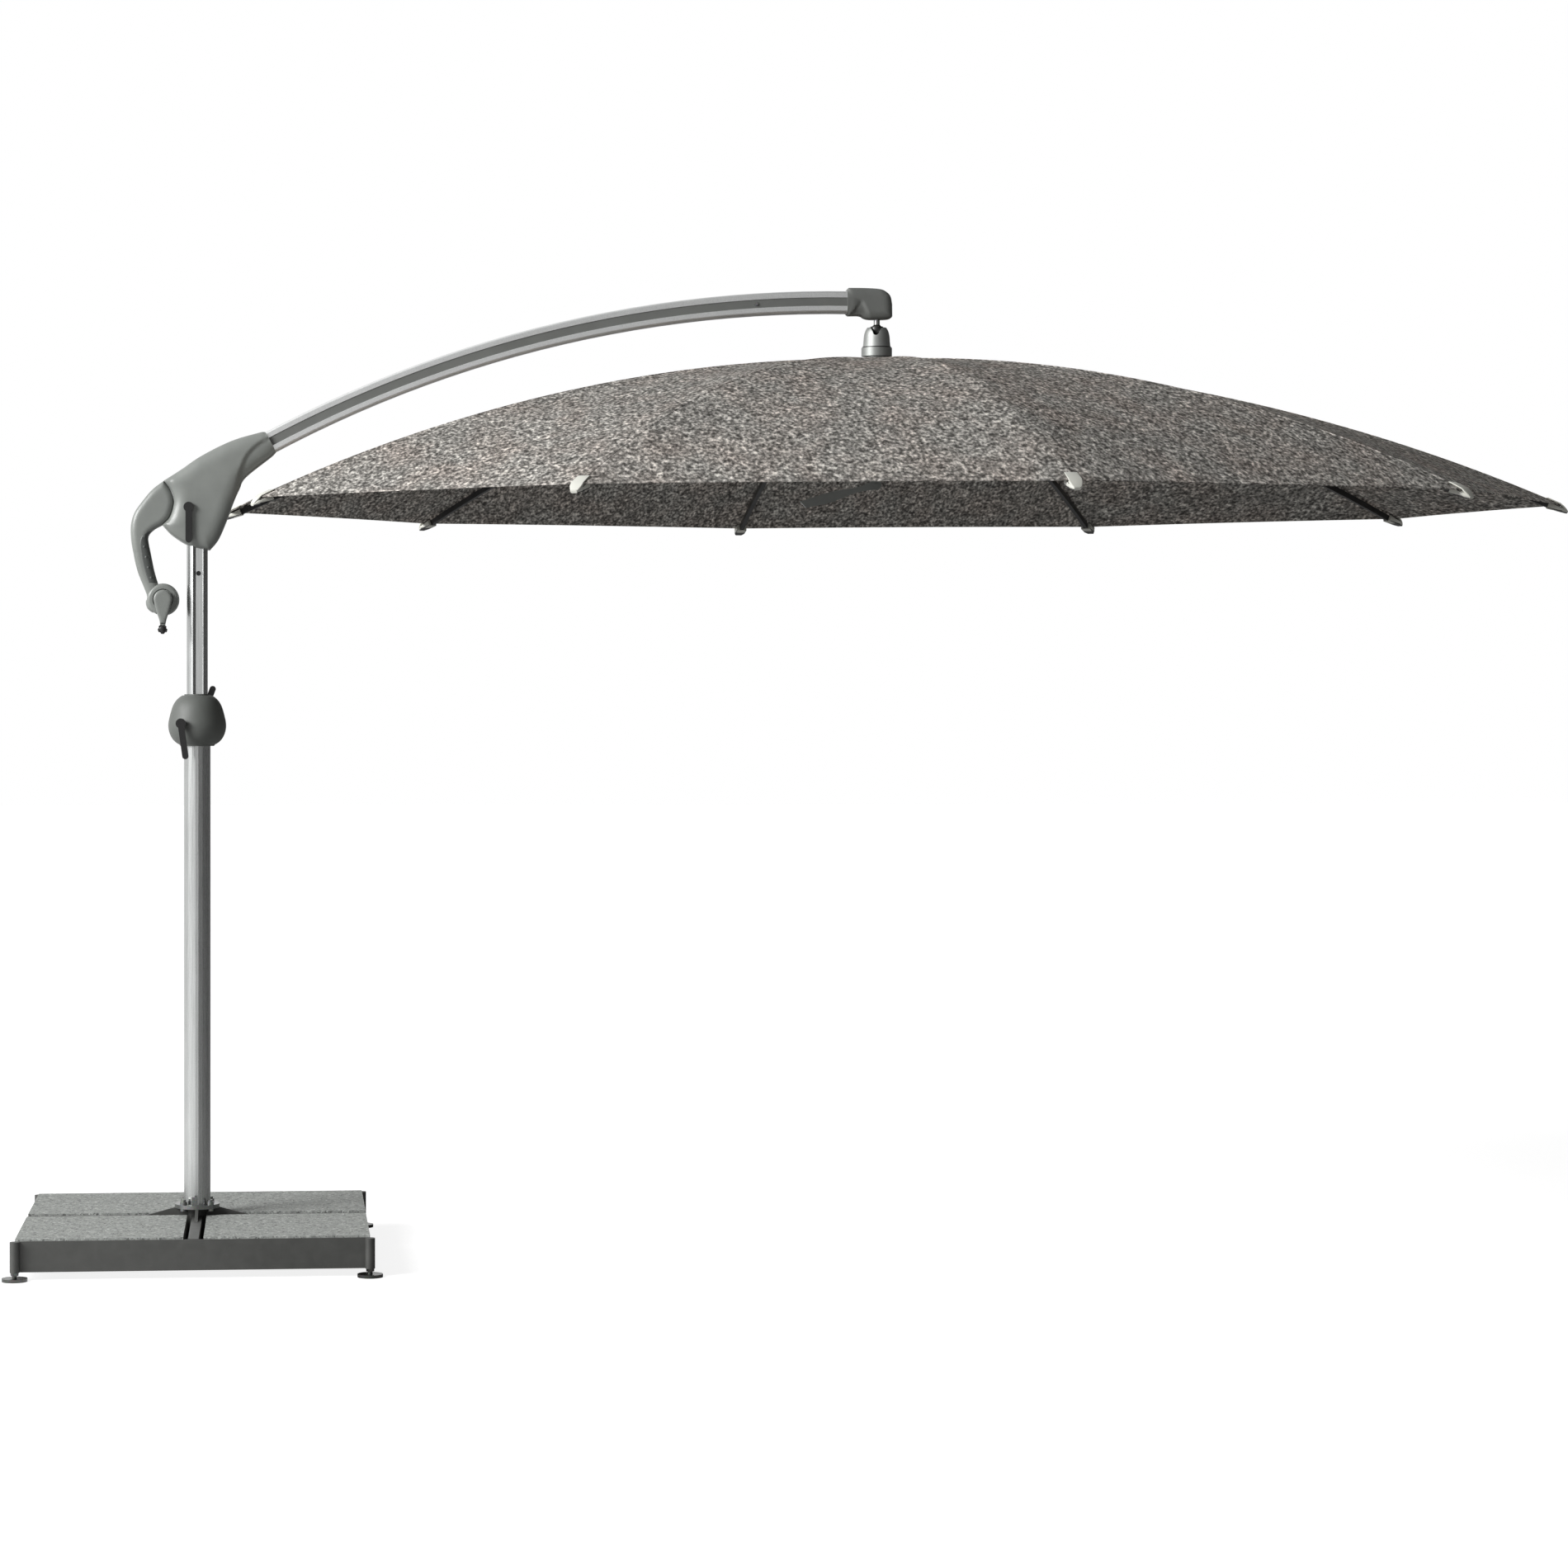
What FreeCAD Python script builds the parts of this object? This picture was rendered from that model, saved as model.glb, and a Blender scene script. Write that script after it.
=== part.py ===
import FreeCAD, Part
import math
import os
import re

# Cantilever parasol: weighted base, telescopic mast, crank head, curved arm and a ten-rib canopy.
# Millimetres. +Z is up, the mast axis stands on the origin at the floor, and the arm runs along +X.

Vector = FreeCAD.Vector
X_AXIS, Y_AXIS, Z_AXIS = Vector(1, 0, 0), Vector(0, 1, 0), Vector(0, 0, 1)

doc = FreeCAD.newDocument("CantileverParasol")
sheet = doc.addObject("Spreadsheet::Sheet", "Sizes")

# Driving sizes: one plain number each.
DRIVING = {
    # base frame and granite slabs
    "slab_side": 408, "slab_gap": 50, "slab_thick": 60, "slab_top": 101,
    "rail_bottom": 21, "rail_high": 75, "rail_thick": 6, "rail_play": 2,
    "ledge_wide": 26, "ledge_thick": 4, "post_dia": 24, "post_inset": 5,
    "beam_wide": 26, "beam_drop": 4, "web_wide": 30,
    # levelling feet
    "foot_disc_dia": 63, "foot_disc_high": 8, "foot_stem_dia": 12, "foot_nut_dia": 20,
    "foot_nut_high": 7, "foot_travel": 12, "thread_play": 0.06,
    # flanges and their bolts
    "flange_dia": 115, "flange_thick": 5, "flange_lift": 17, "gusset_reach": 136, "gusset_thick": 8,
    "bolt_dia": 10, "bolt_circle": 96, "bolt_count": 4, "nut_dia": 18, "nut_high": 8,
    "socket_high": 60, "tab_wide": 13, "tab_high": 22, "tab_thick": 4,
    # lower mast
    "lower_dia": 68, "lower_wall": 2.5, "lower_top": 1338, "flute_count": 16, "flute_deep": 0.9,
    "flute_dia": 8, "drain_z": 512, "wire_hole_z": 440,
    # collar that clamps the telescopic mast
    "collar_lap": 33.5, "collar_high": 130, "collar_wide_dia": 148, "collar_neck_dia": 76,
    "collar_foot_dia": 92, "collar_wide_at": 50, "clamp_lever_long": 84, "clamp_lever_wide": 16,
    "clamp_lever_thick": 8, "clamp_boss_dia": 26, "clamp_boss_high": 10, "bush_wall": 3,
    "slide_play": 0.06,
    "collar_bolt_x": 40, "collar_back_bolt_x": 8, "collar_bolt_up": 57.5, "collar_bolt_reach": 77,
    "collar_bolt_dia": 22,
    # upper mast
    "upper_dia": 54, "upper_wall": 3, "upper_lap": 258, "upper_out": 562, "bush_long": 60,
    "groove_wide": 22, "groove_deep": 1.4, "screw_dia": 10, "screw_head_high": 3, "mast_screw_drop": 152,
    # head, its cast core and its two shells
    "head_unit": 100, "head_half_wide": 38, "shell_wall": 3, "core_wall": 4.5, "core_drop": 76,
    "washer_thick": 3, "core_cap_thick": 8, "head_rim": 4, "head_rim_x": 188, "head_round": 10,
    "head_lever_x": -21, "head_lever_up": 17, "head_lever_long": 84,
    # crank arm, winch and handle
    "crank_x": -87, "crank_drop": 219, "crank_case_dia": 82, "crank_half_wide": 24, "crank_wall": 4,
    "crank_round": 6, "panel_margin": 3, "panel_shift": 10, "panel_long": 132, "panel_above": 1,
    "panel_thick": 2, "rivet_count": 5, "knob_lobes": 5, "lobe_dip_dia": 8,
    "handle_hub_dia": 48, "handle_long": 78, "handle_neck": 12, "handle_thick": 9, "handle_play": 5,
    "knob_dia": 24,
    "knob_long": 26, "shaft_dia": 14, "drum_dia": 44, "drum_wide": 20, "rivet_dia": 6,
    # curved arm
    "arm_radius": 3130, "arm_crown_x": 1675, "arm_start_rise": 115.4, "arm_high": 56, "arm_wide": 46,
    "arm_cap_wall": 3, "arm_side_wall": 5, "arm_start_x": 62, "arm_end_x": 1700, "slot_high": 22,
    "slot_deep": 3, "inlay_thick": 1.5, "arm_screw_x": 1447, "arm_round": 6, "fit_play": 0.3,
    "spigot_long": 95,
    # end cap, pulley and ball stud
    "cap_half_wide": 28, "cap_round": 5, "cap_wall": 4, "ball_x": 1768, "ball_drop": 70, "ball_dia": 30,
    "stud_dia": 16, "cap_drop": 43.5, "cap_rise": 37.5, "pulley_dia": 30, "pulley_wide": 10,
    "axle_dia": 8, "pin_play": 0.05, "cord_way_dia": 6,
    # canopy hub
    "canopy_lean": 1.68, "canopy_lean_heading": -4.85, "canopy_heading": -13.6,
    "cup_top": 5, "cup_bottom": -47, "cup_top_dia": 50, "cup_foot_dia": 73, "liner_wall": 3, "liner_rim": 8,
    "notch_deep": 13,
    "socket_play": 0.3, "hub_ring_dia": 80, "hub_ring_high": 22, "hub_seam": 0.5, "neck_dia": 58,
    # crown, ribs and struts
    "rib_count": 10, "rib_hinge_reach": 52, "rib_hinge_down": -92, "rib_high": 15, "rib_wide": 12,
    "rib_bend": 4450, "rib_start_slope": 1.75, "rib_long": 1760, "rib_pin_dia": 5, "crown_high": 23.4,
    "crown_dia": 128, "fork_play": 1, "tip_long": 50, "tip_wide": 30, "tip_nose": 14, "tip_high": 7,
    "strut_at": 700, "strut_drop": 20, "strut_high": 12, "strut_wide": 8, "bracket_wall": 3,
    "runner_reach": 52, "runner_down": -366, "runner_high": 40, "runner_dia": 124,
    "grip_long": 212, "grip_slope": 15.2, "grip_eye_dia": 26, "grip_thick": 8, "grip_down": -405,
    "lug_wide": 18,
    # canopy cloth
    "cloth_thick": 1.5, "cloth_lift": 5, "cloth_hole_dia": 64, "cloth_inset": 22,
}

# Sizes that follow from the driving ones.
DERIVED = {
    "slab_bottom": "slab_top - slab_thick",
    "slab_reach": "slab_gap / 2 + slab_side",
    "rail_inside": "slab_reach + rail_play",
    "rail_outside": "rail_inside + rail_thick",
    "post_x": "slab_reach",
    "post_y": "rail_outside + post_inset",
    "beam_top": "slab_top - beam_drop",
    "flange_bottom": "slab_top + flange_lift",
    "foot_stem_long": "rail_bottom + foot_travel + 40",
    "mast_flange_top": "flange_bottom + 2 * flange_thick",
    "lower_inner_dia": "lower_dia - 2 * lower_wall",
    "collar_bottom": "lower_top - collar_lap",
    "collar_top": "collar_bottom + collar_high",
    "collar_wide_z": "collar_bottom + collar_wide_at",
    "collar_bolt_z": "collar_bottom + collar_bolt_up",
    "upper_bottom": "lower_top - upper_lap",
    "upper_top": "lower_top + upper_out",
    "mast_screw_z": "upper_top - mast_screw_drop",
    "core_bottom": "upper_top - core_drop",
    "head_lever_z": "upper_top + head_lever_up",
    "crank_z": "upper_top - crank_drop",
    "core_inner_dia": "upper_dia + 2 * slide_play",
    "core_outer_dia": "core_inner_dia + 2 * core_wall",
    "core_top": "upper_top + washer_thick + core_cap_thick",
    "arm_start_angle": "asin((arm_crown_x - arm_start_x) / arm_radius)",
    "arm_centre_z": "upper_top + arm_start_rise - arm_radius * cos(arm_start_angle)",
    "arm_crown_z": "arm_centre_z + arm_radius",
    "ball_z": "arm_crown_z - ball_drop",
    "cap_bottom": "arm_crown_z - cap_drop",
    "cap_top": "arm_crown_z + cap_rise",
    "handle_y": "-crank_half_wide - handle_play",
    "socket_dia": "ball_dia + 2 * socket_play",
    "liner_dia": "socket_dia + 2 * liner_wall",
    "pulley_x": "ball_x - pulley_dia / 2 + 1",
    "pulley_z": "arm_crown_z - pulley_dia / 2",
}

for row, (alias, number) in enumerate(DRIVING.items(), start=1):
    sheet.set(f"A{row}", alias)
    sheet.set(f"B{row}", str(number))
    sheet.setAlias(f"B{row}", alias)
for row, (alias, formula) in enumerate(DERIVED.items(), start=1):
    sheet.set(f"D{row}", alias)
    sheet.set(f"E{row}", "=" + formula)
    sheet.setAlias(f"E{row}", alias)
doc.recompute()

NAMES = sorted([*DRIVING, *DERIVED], key=len, reverse=True)
NAME_PATTERN = re.compile(r"\b(" + "|".join(NAMES) + r")\b")


def size(alias):
    """Value of one sheet cell."""
    return float(sheet.get(alias))


def bind(item, prop, formula):
    """Bind a property to a formula written with the sheet's aliases."""
    item.setExpression(prop, NAME_PATTERN.sub(r"Sizes.\1", str(formula)))


def put(item, x=0, y=0, z=0, axis=Z_AXIS, angle=0):
    """Turn an item about an axis through its origin and bind its place to formulas."""
    item.Placement = FreeCAD.Placement(Vector(), FreeCAD.Rotation(axis, angle))
    for letter, formula in zip("xyz", (x, y, z)):
        bind(item, f"Placement.Base.{letter}", formula)
    return item


def box(long_x, wide_y, high_z, x=0, y=0, z=0):
    """Box centred on (x, y) with its underside at z."""
    item = doc.addObject("Part::Box", "Box")
    for prop, formula in (("Length", long_x), ("Width", wide_y), ("Height", high_z)):
        bind(item, prop, formula)
    return put(item, f"{x} - ({long_x}) / 2", f"{y} - ({wide_y}) / 2", z)


def rod(dia, high, x=0, y=0, z=0):
    """Upright cylinder that starts at z."""
    item = doc.addObject("Part::Cylinder", "Rod")
    bind(item, "Radius", f"({dia}) / 2")
    bind(item, "Height", high)
    return put(item, x, y, z)


def cross_rod(dia, long_y, x=0, y=0, z=0):
    """Cylinder along +Y that starts at y."""
    item = rod(dia, long_y)
    return put(item, x, y, z, X_AXIS, -90)


def ball(dia, x=0, y=0, z=0):
    item = doc.addObject("Part::Sphere", "Ball")
    bind(item, "Radius", f"({dia}) / 2")
    return put(item, x, y, z)


def group(kind, items, label):
    item = doc.addObject(kind, label)
    setattr(item, "Links" if kind == "Part::Compound" else "Shapes", list(items))
    item.Label = label
    return item


def fuse(*items, label="Joined"):
    return group("Part::MultiFuse", items, label)


def together(*items, label="Set"):
    """Separate solids kept in one sub-part."""
    return group("Part::Compound", items, label)


def cut(base, *tools, label="Shaped"):
    item = doc.addObject("Part::Cut", label)
    item.Base = base
    item.Tool = tools[0] if len(tools) == 1 else fuse(*tools)
    item.Label = label
    return item


def tube(outer_dia, inner_dia, high, x=0, y=0, z=0, label="Tube"):
    return cut(rod(outer_dia, high, x, y, z), rod(inner_dia, high, x, y, z), label=label)


def body_with_sketch(label, plane):
    """New body holding a sketch attached to one of its own origin planes."""
    body = doc.addObject("PartDesign::Body", label)
    body.Label = label
    sketch = body.newObject("Sketcher::SketchObject", label + "_sketch")
    origin_plane = next(part for part in body.Origin.OriginFeatures if part.Role == plane)
    sketch.AttachmentSupport = [(origin_plane, "")]
    sketch.MapMode = "FlatFace"
    return body, sketch


def outline_edges(stops):
    """Closed outline: a stop is a corner (u, v), or a list of points that one smooth curve follows."""
    runs = [[Vector(*p, 0) for p in (stop if isinstance(stop, list) else [stop])] for stop in stops]
    edges = []
    for run, following in zip(runs, runs[1:] + runs[:1]):
        if len(run) > 1:
            curve = Part.BSplineCurve()
            curve.interpolate(run)
            edges.append(curve)
        if (following[0] - run[-1]).Length > 1e-6:
            edges.append(Part.LineSegment(run[-1], following[0]))
    return edges


def turned(label, profile):
    """Body of revolution about Z from a profile of (radius, z) points."""
    body, sketch = body_with_sketch(label, "XZ_Plane")
    sketch.addGeometry(outline_edges(profile), False)
    turn = body.newObject("PartDesign::Revolution", label + "_turn")
    turn.Profile = sketch
    turn.ReferenceAxis = (sketch, ["V_Axis"])
    turn.Angle = 360
    return body


def slab(label, profile, thickness):
    """Body with an outline in XZ, padded the same way to both sides of Y = 0."""
    body, sketch = body_with_sketch(label, "XZ_Plane")
    sketch.addGeometry(outline_edges(profile), False)
    pad = body.newObject("PartDesign::Pad", label + "_pad")
    pad.Profile = sketch
    pad.Midplane = True
    bind(pad, "Length", thickness)
    return body


parts = {}


def keep(item, name):
    """Name a finished sub-part; its label names its file."""
    item.Label = name
    parts[name] = item
    return item


def polar(count, start=0.0):
    """Angles of evenly spaced copies, in degrees."""
    return [start + 360.0 * k / count for k in range(count)]


CORNERS = [(-1, -1), (1, -1), (1, 1), (-1, 1)]


def base_frame():
    """Upright rails front and back, flat bars under the slabs at the sides, ledges and corner posts."""
    between = "2 * post_x"
    pieces = []
    for side in (-1, 1):
        middle = f"{side} * (rail_inside + rail_thick / 2)"
        shelf = f"{side} * (rail_inside - ledge_wide / 2)"
        bar = f"{side} * (slab_reach - ledge_wide / 2)"
        pieces.append(box(between, "rail_thick", "rail_high", 0, middle, "rail_bottom"))
        pieces.append(box(between, "ledge_wide", "ledge_thick", 0, shelf, "slab_bottom - ledge_thick"))
        pieces.append(box("ledge_wide", "2 * rail_inside", "slab_bottom - rail_bottom", bar, 0,
                          "rail_bottom"))
    for sx, sy in CORNERS:
        pieces.append(rod("post_dia", "rail_high", f"{sx} * post_x", f"{sy} * post_y", "rail_bottom"))
    threads = [
        rod("foot_stem_dia + 2 * thread_play", "rail_high - rail_thick", f"{sx} * post_x",
            f"{sy} * post_y", "rail_bottom - 1")
        for sx, sy in CORNERS
    ]
    keep(cut(fuse(*pieces), *threads), "base_frame")


def base_cross():
    """Two crossing beams in the gaps between the slabs, their bottom flanges, hub and gussets."""
    foot = "slab_bottom - ledge_thick"
    pieces = [
        box("2 * slab_reach", "beam_wide", "beam_top - slab_bottom", 0, 0, "slab_bottom"),
        box("beam_wide", "2 * rail_inside", "beam_top - slab_bottom", 0, 0, "slab_bottom"),
        box("2 * (slab_reach - ledge_wide)", "slab_gap + web_wide", "ledge_thick", 0, 0, foot),
        box("slab_gap + web_wide", "2 * (rail_inside - ledge_wide)", "ledge_thick", 0, 0, foot),
        rod("slab_gap - 4", "flange_bottom - slab_bottom + ledge_thick", 0, 0, foot),
    ]
    low, reach, top = size("beam_top"), size("gusset_reach"), size("flange_bottom")
    inner = size("flange_dia") / 2
    profile = [(-reach, low), (reach, low), (inner, top), (-inner, top)]
    for angle in (0, 90):
        gusset = slab(f"gusset_{angle}", profile, "gusset_thick")
        gusset.Placement = FreeCAD.Placement(Vector(), FreeCAD.Rotation(Z_AXIS, angle))
        pieces.append(gusset)
    keep(fuse(*pieces), "base_cross")


def granite_slabs():
    middle = "(slab_gap + slab_side) / 2"
    slabs = [
        box("slab_side", "slab_side", "slab_thick", f"{sx} * {middle}", f"{sy} * {middle}", "slab_bottom")
        for sx, sy in CORNERS
    ]
    keep(together(*slabs), "granite_slabs")


def levelling_feet():
    """Threaded stem with a round disc and a hexagonal lock nut under each corner post."""
    for number, (sx, sy) in enumerate(CORNERS, start=1):
        x, y = f"{sx} * post_x", f"{sy} * post_y"
        disc = rod("foot_disc_dia", "foot_disc_high", x, y, 0)
        stem = rod("foot_stem_dia", "foot_stem_long", x, y, "foot_disc_high / 2")
        nut = doc.addObject("Part::Prism", "Nut")
        bind(nut, "Circumradius", "foot_nut_dia / 2")
        bind(nut, "Height", "foot_nut_high")
        put(nut, x, y, "rail_bottom - foot_nut_high")
        keep(fuse(disc, stem, nut), f"foot_{number}")


def flanges():
    """Lower flange welded to the cross, and the mast's own flange with its socket, bolted on top."""
    def holes(bottom, high, dia="bolt_dia"):
        drilled = []
        for angle in polar(int(size("bolt_count")), 45.0):
            drilled.append(rod(dia, high, f"bolt_circle / 2 * cos({angle} deg)",
                               f"bolt_circle / 2 * sin({angle} deg)", bottom))
        return drilled

    plate = rod("flange_dia", "flange_thick", 0, 0, "flange_bottom")
    keep(cut(plate, *holes("flange_bottom - 1", "flange_thick + 2")), "base_flange")

    upper = rod("flange_dia", "flange_thick", 0, 0, "flange_bottom + flange_thick")
    socket = rod("lower_inner_dia - 2 * fit_play", "socket_high", 0, 0, "mast_flange_top")
    tab = box("tab_wide", "tab_thick", "tab_high", "-0.5 * tab_wide", "tab_thick - flange_dia / 2",
              "mast_flange_top")
    hollow = rod("lower_inner_dia - 16", "socket_high + 20", 0, 0, "mast_flange_top - 10")
    bored = holes("flange_bottom", "2 * flange_thick + 1")
    keep(cut(fuse(upper, socket, tab), hollow, *bored), "mast_flange")

    bolts = []
    shafts = holes("flange_bottom - 6", "2 * flange_thick + nut_high", "bolt_dia - 1")
    heads = holes("flange_bottom - 6", 6, "nut_dia")
    nuts = holes("mast_flange_top", "nut_high", "nut_dia")
    domes = holes("mast_flange_top", "nut_high + bolt_dia / 2", "bolt_dia + 2")
    for pieces in zip(shafts, heads, nuts, domes):
        bolts.append(fuse(*pieces))
    keep(together(*bolts), "flange_bolts")


def lower_mast():
    """Fluted aluminium tube that stands on the flange and ends inside the collar."""
    high = "lower_top - mast_flange_top"
    flutes = []
    for angle in polar(int(size("flute_count"))):
        reach = "(lower_dia / 2 + flute_dia / 2 - flute_deep)"
        flutes.append(rod("flute_dia", "collar_bottom - mast_flange_top - 12", f"{reach} * cos({angle} deg)",
                          f"{reach} * sin({angle} deg)", "mast_flange_top + 6"))
    drain = cross_rod("screw_dia - 3", "lower_dia", 0, "-lower_dia", "drain_z")
    screw_hole = cross_rod("screw_dia - 3", "lower_dia", 0, "-lower_dia", "wire_hole_z")
    whole = tube("lower_dia", "lower_inner_dia", high, 0, 0, "mast_flange_top")
    keep(cut(whole, drain, screw_hole, *flutes), "lower_mast")


def collar():
    """Bulbous clamp collar, its bush, and a lever on each side."""
    bottom, top, waist = size("collar_bottom"), size("collar_top"), size("collar_wide_z")
    neck, wide, foot = (size(name) / 2 for name in ("collar_neck_dia", "collar_wide_dia", "collar_foot_dia"))
    bulge = [(foot, bottom + 4), ((foot + 2 * wide) / 3, bottom + (waist - bottom) * 0.4), (wide, waist + 6),
             (wide - 4, waist + 28), ((wide + neck) / 2 + 4, waist + 58), (neck, top)]
    bore = size("upper_dia") / 2 + size("slide_play")
    shoulder, mast = size("lower_top"), size("lower_dia") / 2 + 0.05
    bush_outer = bore + size("bush_wall")
    shell = turned("collar_bulb", [(mast, bottom), (foot - 3, bottom), bulge, (bush_outer, top),
                                   (bush_outer, shoulder), (mast, shoulder)])
    boss_long = "collar_bolt_reach - lower_dia / 2 - 12"
    bosses = [cross_rod("collar_bolt_dia", boss_long, "-collar_bolt_x", "-collar_bolt_reach",
                        "collar_bolt_z"),
              cross_rod("collar_bolt_dia", boss_long, "collar_back_bolt_x", "lower_dia / 2 + 12",
                        "collar_bolt_z + 12")]
    keep(fuse(shell, *bosses), "collar_shell")
    sleeve_top, sleeve_low = top + 3, shoulder - 40
    inner = size("lower_inner_dia") / 2
    keep(turned("collar_bush", [(bore, sleeve_low), (inner, sleeve_low), (inner, shoulder),
                                (bush_outer, shoulder), (bush_outer, top), (bush_outer + 3, top),
                                (bush_outer + 3, sleeve_top), (bore, sleeve_top)]), "collar_bush")


def clamp_lever(name, x, y, z, lean, long, boss_reach):
    """Flat clamp lever with a round boss on a horizontal bolt; it hangs down when lean is 0."""
    out = -1 if y.startswith("-") else 1
    boss = cross_rod("clamp_boss_dia", boss_reach, 0, 0 if out > 0 else f"-({boss_reach})", 0)
    start = f"{out} * (({boss_reach}) - clamp_lever_thick / 2)"
    blade = box("clamp_lever_wide", "clamp_lever_thick", long, 0, start, f"-({long})")
    tip = cross_rod("clamp_lever_wide", "clamp_lever_thick", 0, f"{start} - clamp_lever_thick / 2",
                    f"-({long})")
    lever = fuse(boss, blade, tip)
    keep(put(lever, x, y, z, Y_AXIS, lean), name)


def collar_levers():
    """Two clamp levers: one hangs down in front, the other stands up at the back."""
    clamp_lever("collar_lever_front", "-collar_bolt_x", "-collar_bolt_reach - fit_play", "collar_bolt_z",
                -8, "clamp_lever_long", "clamp_boss_high")
    clamp_lever("collar_lever_back", "collar_back_bolt_x", "collar_bolt_reach + fit_play",
                "collar_bolt_z + 12", 180 + 21, "clamp_lever_long", "clamp_boss_high")


def upper_mast():
    """Telescopic tube with a shallow groove front and back, its foot bush and its screws."""
    high = "upper_top - upper_bottom"
    grooves = [
        box("groove_wide", "2 * groove_deep", high, 0, f"{side} * upper_dia / 2", "upper_bottom")
        for side in (-1, 1)
    ]
    whole = tube("upper_dia", "upper_dia - 2 * upper_wall", high, 0, 0, "upper_bottom")
    keep(cut(whole, *grooves), "upper_mast")
    keep(tube("lower_inner_dia - 2 * slide_play", "upper_dia", "bush_long", 0, 0, "upper_bottom"),
         "mast_foot_bush")
    floor = "upper_dia / 2 - groove_deep"
    screws = []
    for start in (f"-({floor}) - screw_head_high", floor):
        screws.append(cross_rod("screw_dia", "screw_head_high", 0, start, "mast_screw_z"))
    keep(together(*screws), "mast_screws")
    keep(rod("upper_dia - 1", "washer_thick", 0, 0, "upper_top"), "thrust_washer")


# --- the curve of the arm -------------------------------------------------------------------------

def arm_angle(x):
    """Angle, from the horizontal, at which the arm climbs where its centre line passes x."""
    return math.degrees(math.asin((size("arm_crown_x") - x) / size("arm_radius")))


def arm_point(x, across=0.0):
    """Point (x, z) on the arm's centre line, moved square to it by across."""
    angle = math.radians(arm_angle(x))
    reach = size("arm_radius") + across
    return (size("arm_crown_x") - reach * math.sin(angle), size("arm_centre_z") + reach * math.cos(angle))


def arc_bar(high, wide, x_from, x_to, y="0"):
    """Bar that follows the arm: radial height, width across Y centred on y, between two places in X."""
    sweep = " - ".join(f"asin((arm_crown_x - ({x})) / arm_radius)" for x in (x_from, x_to))
    start = FreeCAD.Rotation(X_AXIS, 90) * FreeCAD.Rotation(Z_AXIS, 90 + arm_angle(number(x_to)))
    bars = []
    for half, extra in ((f"({high}) / 2", 0), (f"-({high}) / 2", 2)):
        bar = doc.addObject("Part::Cylinder", "ArcBar")
        bind(bar, "Radius", f"arm_radius + {half}")
        bind(bar, "Height", f"{wide} + {extra}")
        bind(bar, "Angle", sweep)
        put(bar, "arm_crown_x", f"{y} + ({wide}) / 2 + {extra / 2}", "arm_centre_z", start.Axis,
            math.degrees(start.Angle))
        bars.append(bar)
    return cut(*bars)


def number(formula):
    """Value of a formula of the sheet's aliases, worked out by the sheet itself."""
    sheet.set("G1", "=" + str(formula))
    sheet.recompute()
    return float(sheet.get("G1"))


# --- shells made from a side outline --------------------------------------------------------------

def upright_wire(stops):
    """Closed wire in the XZ plane from an outline in (x, z)."""
    wire = Part.Wire([edge.toShape() for edge in outline_edges(stops)])
    return wire.rotated(Vector(), X_AXIS, 90)


def inset(stops, wall):
    """The same outline moved inward by a wall: every point slides along the mitre of its two sides."""
    ring = list(dict.fromkeys(p for stop in stops for p in (stop if isinstance(stop, list) else [stop])))
    sides = [(b[0] - a[0], b[1] - a[1]) for a, b in zip(ring, ring[1:] + ring[:1])]
    area = sum(a[0] * b[1] - b[0] * a[1] for a, b in zip(ring, ring[1:] + ring[:1]))
    inward = math.copysign(1, area)
    normals = [(-inward * dz / math.hypot(dx, dz), inward * dx / math.hypot(dx, dz)) for dx, dz in sides]
    moved = {}
    for point, one, other in zip(ring, normals[-1:] + normals[:-1], normals):
        share = wall / (1 + one[0] * other[0] + one[1] * other[1])
        moved[point] = (point[0] + share * (one[0] + other[0]), point[1] + share * (one[1] + other[1]))
    return [[moved[p] for p in stop] if isinstance(stop, list) else moved[stop] for stop in stops]


def prism(wire, y_from, y_to):
    face = Part.Face(wire)
    return face.translated(Vector(0, y_from, 0)).extrude(Vector(0, y_to - y_from, 0))


def rounded(solid, y_face, radius, shortest=0.0):
    """Round the edges of a solid, of a least length, that lie on the plane y = y_face."""
    edges = [edge for edge in solid.Edges if edge.Length > shortest
             and abs(edge.BoundBox.YMin - y_face) < 1e-4 and abs(edge.BoundBox.YMax - y_face) < 1e-4]
    return solid.makeFillet(radius, edges)


def feature(shape, name):
    item = doc.addObject("Part::Feature", name)
    item.Shape = shape
    item.Placement = FreeCAD.Placement()
    return keep(item, name)


def by_mast(x, up):
    """Point of a head outline, in hundredths of the head's unit, from the mast's axis and top."""
    unit = size("head_unit") / 100
    return (x * unit, size("upper_top") + up * unit)


def by_arm(x, up):
    """Point of a head outline whose height is taken from the arm's centre line above x."""
    unit = size("head_unit") / 100
    return (x * unit, arm_point(x * unit)[1] + up * unit)


def seam_curve():
    """Curved seam between the head shells and the crank arm, from the mouth up."""
    return [by_mast(*p) for p in ((-89, -28), (-71, -9), (-61, 20), (-60, 39), (-67, 61), (-85, 86))]


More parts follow.
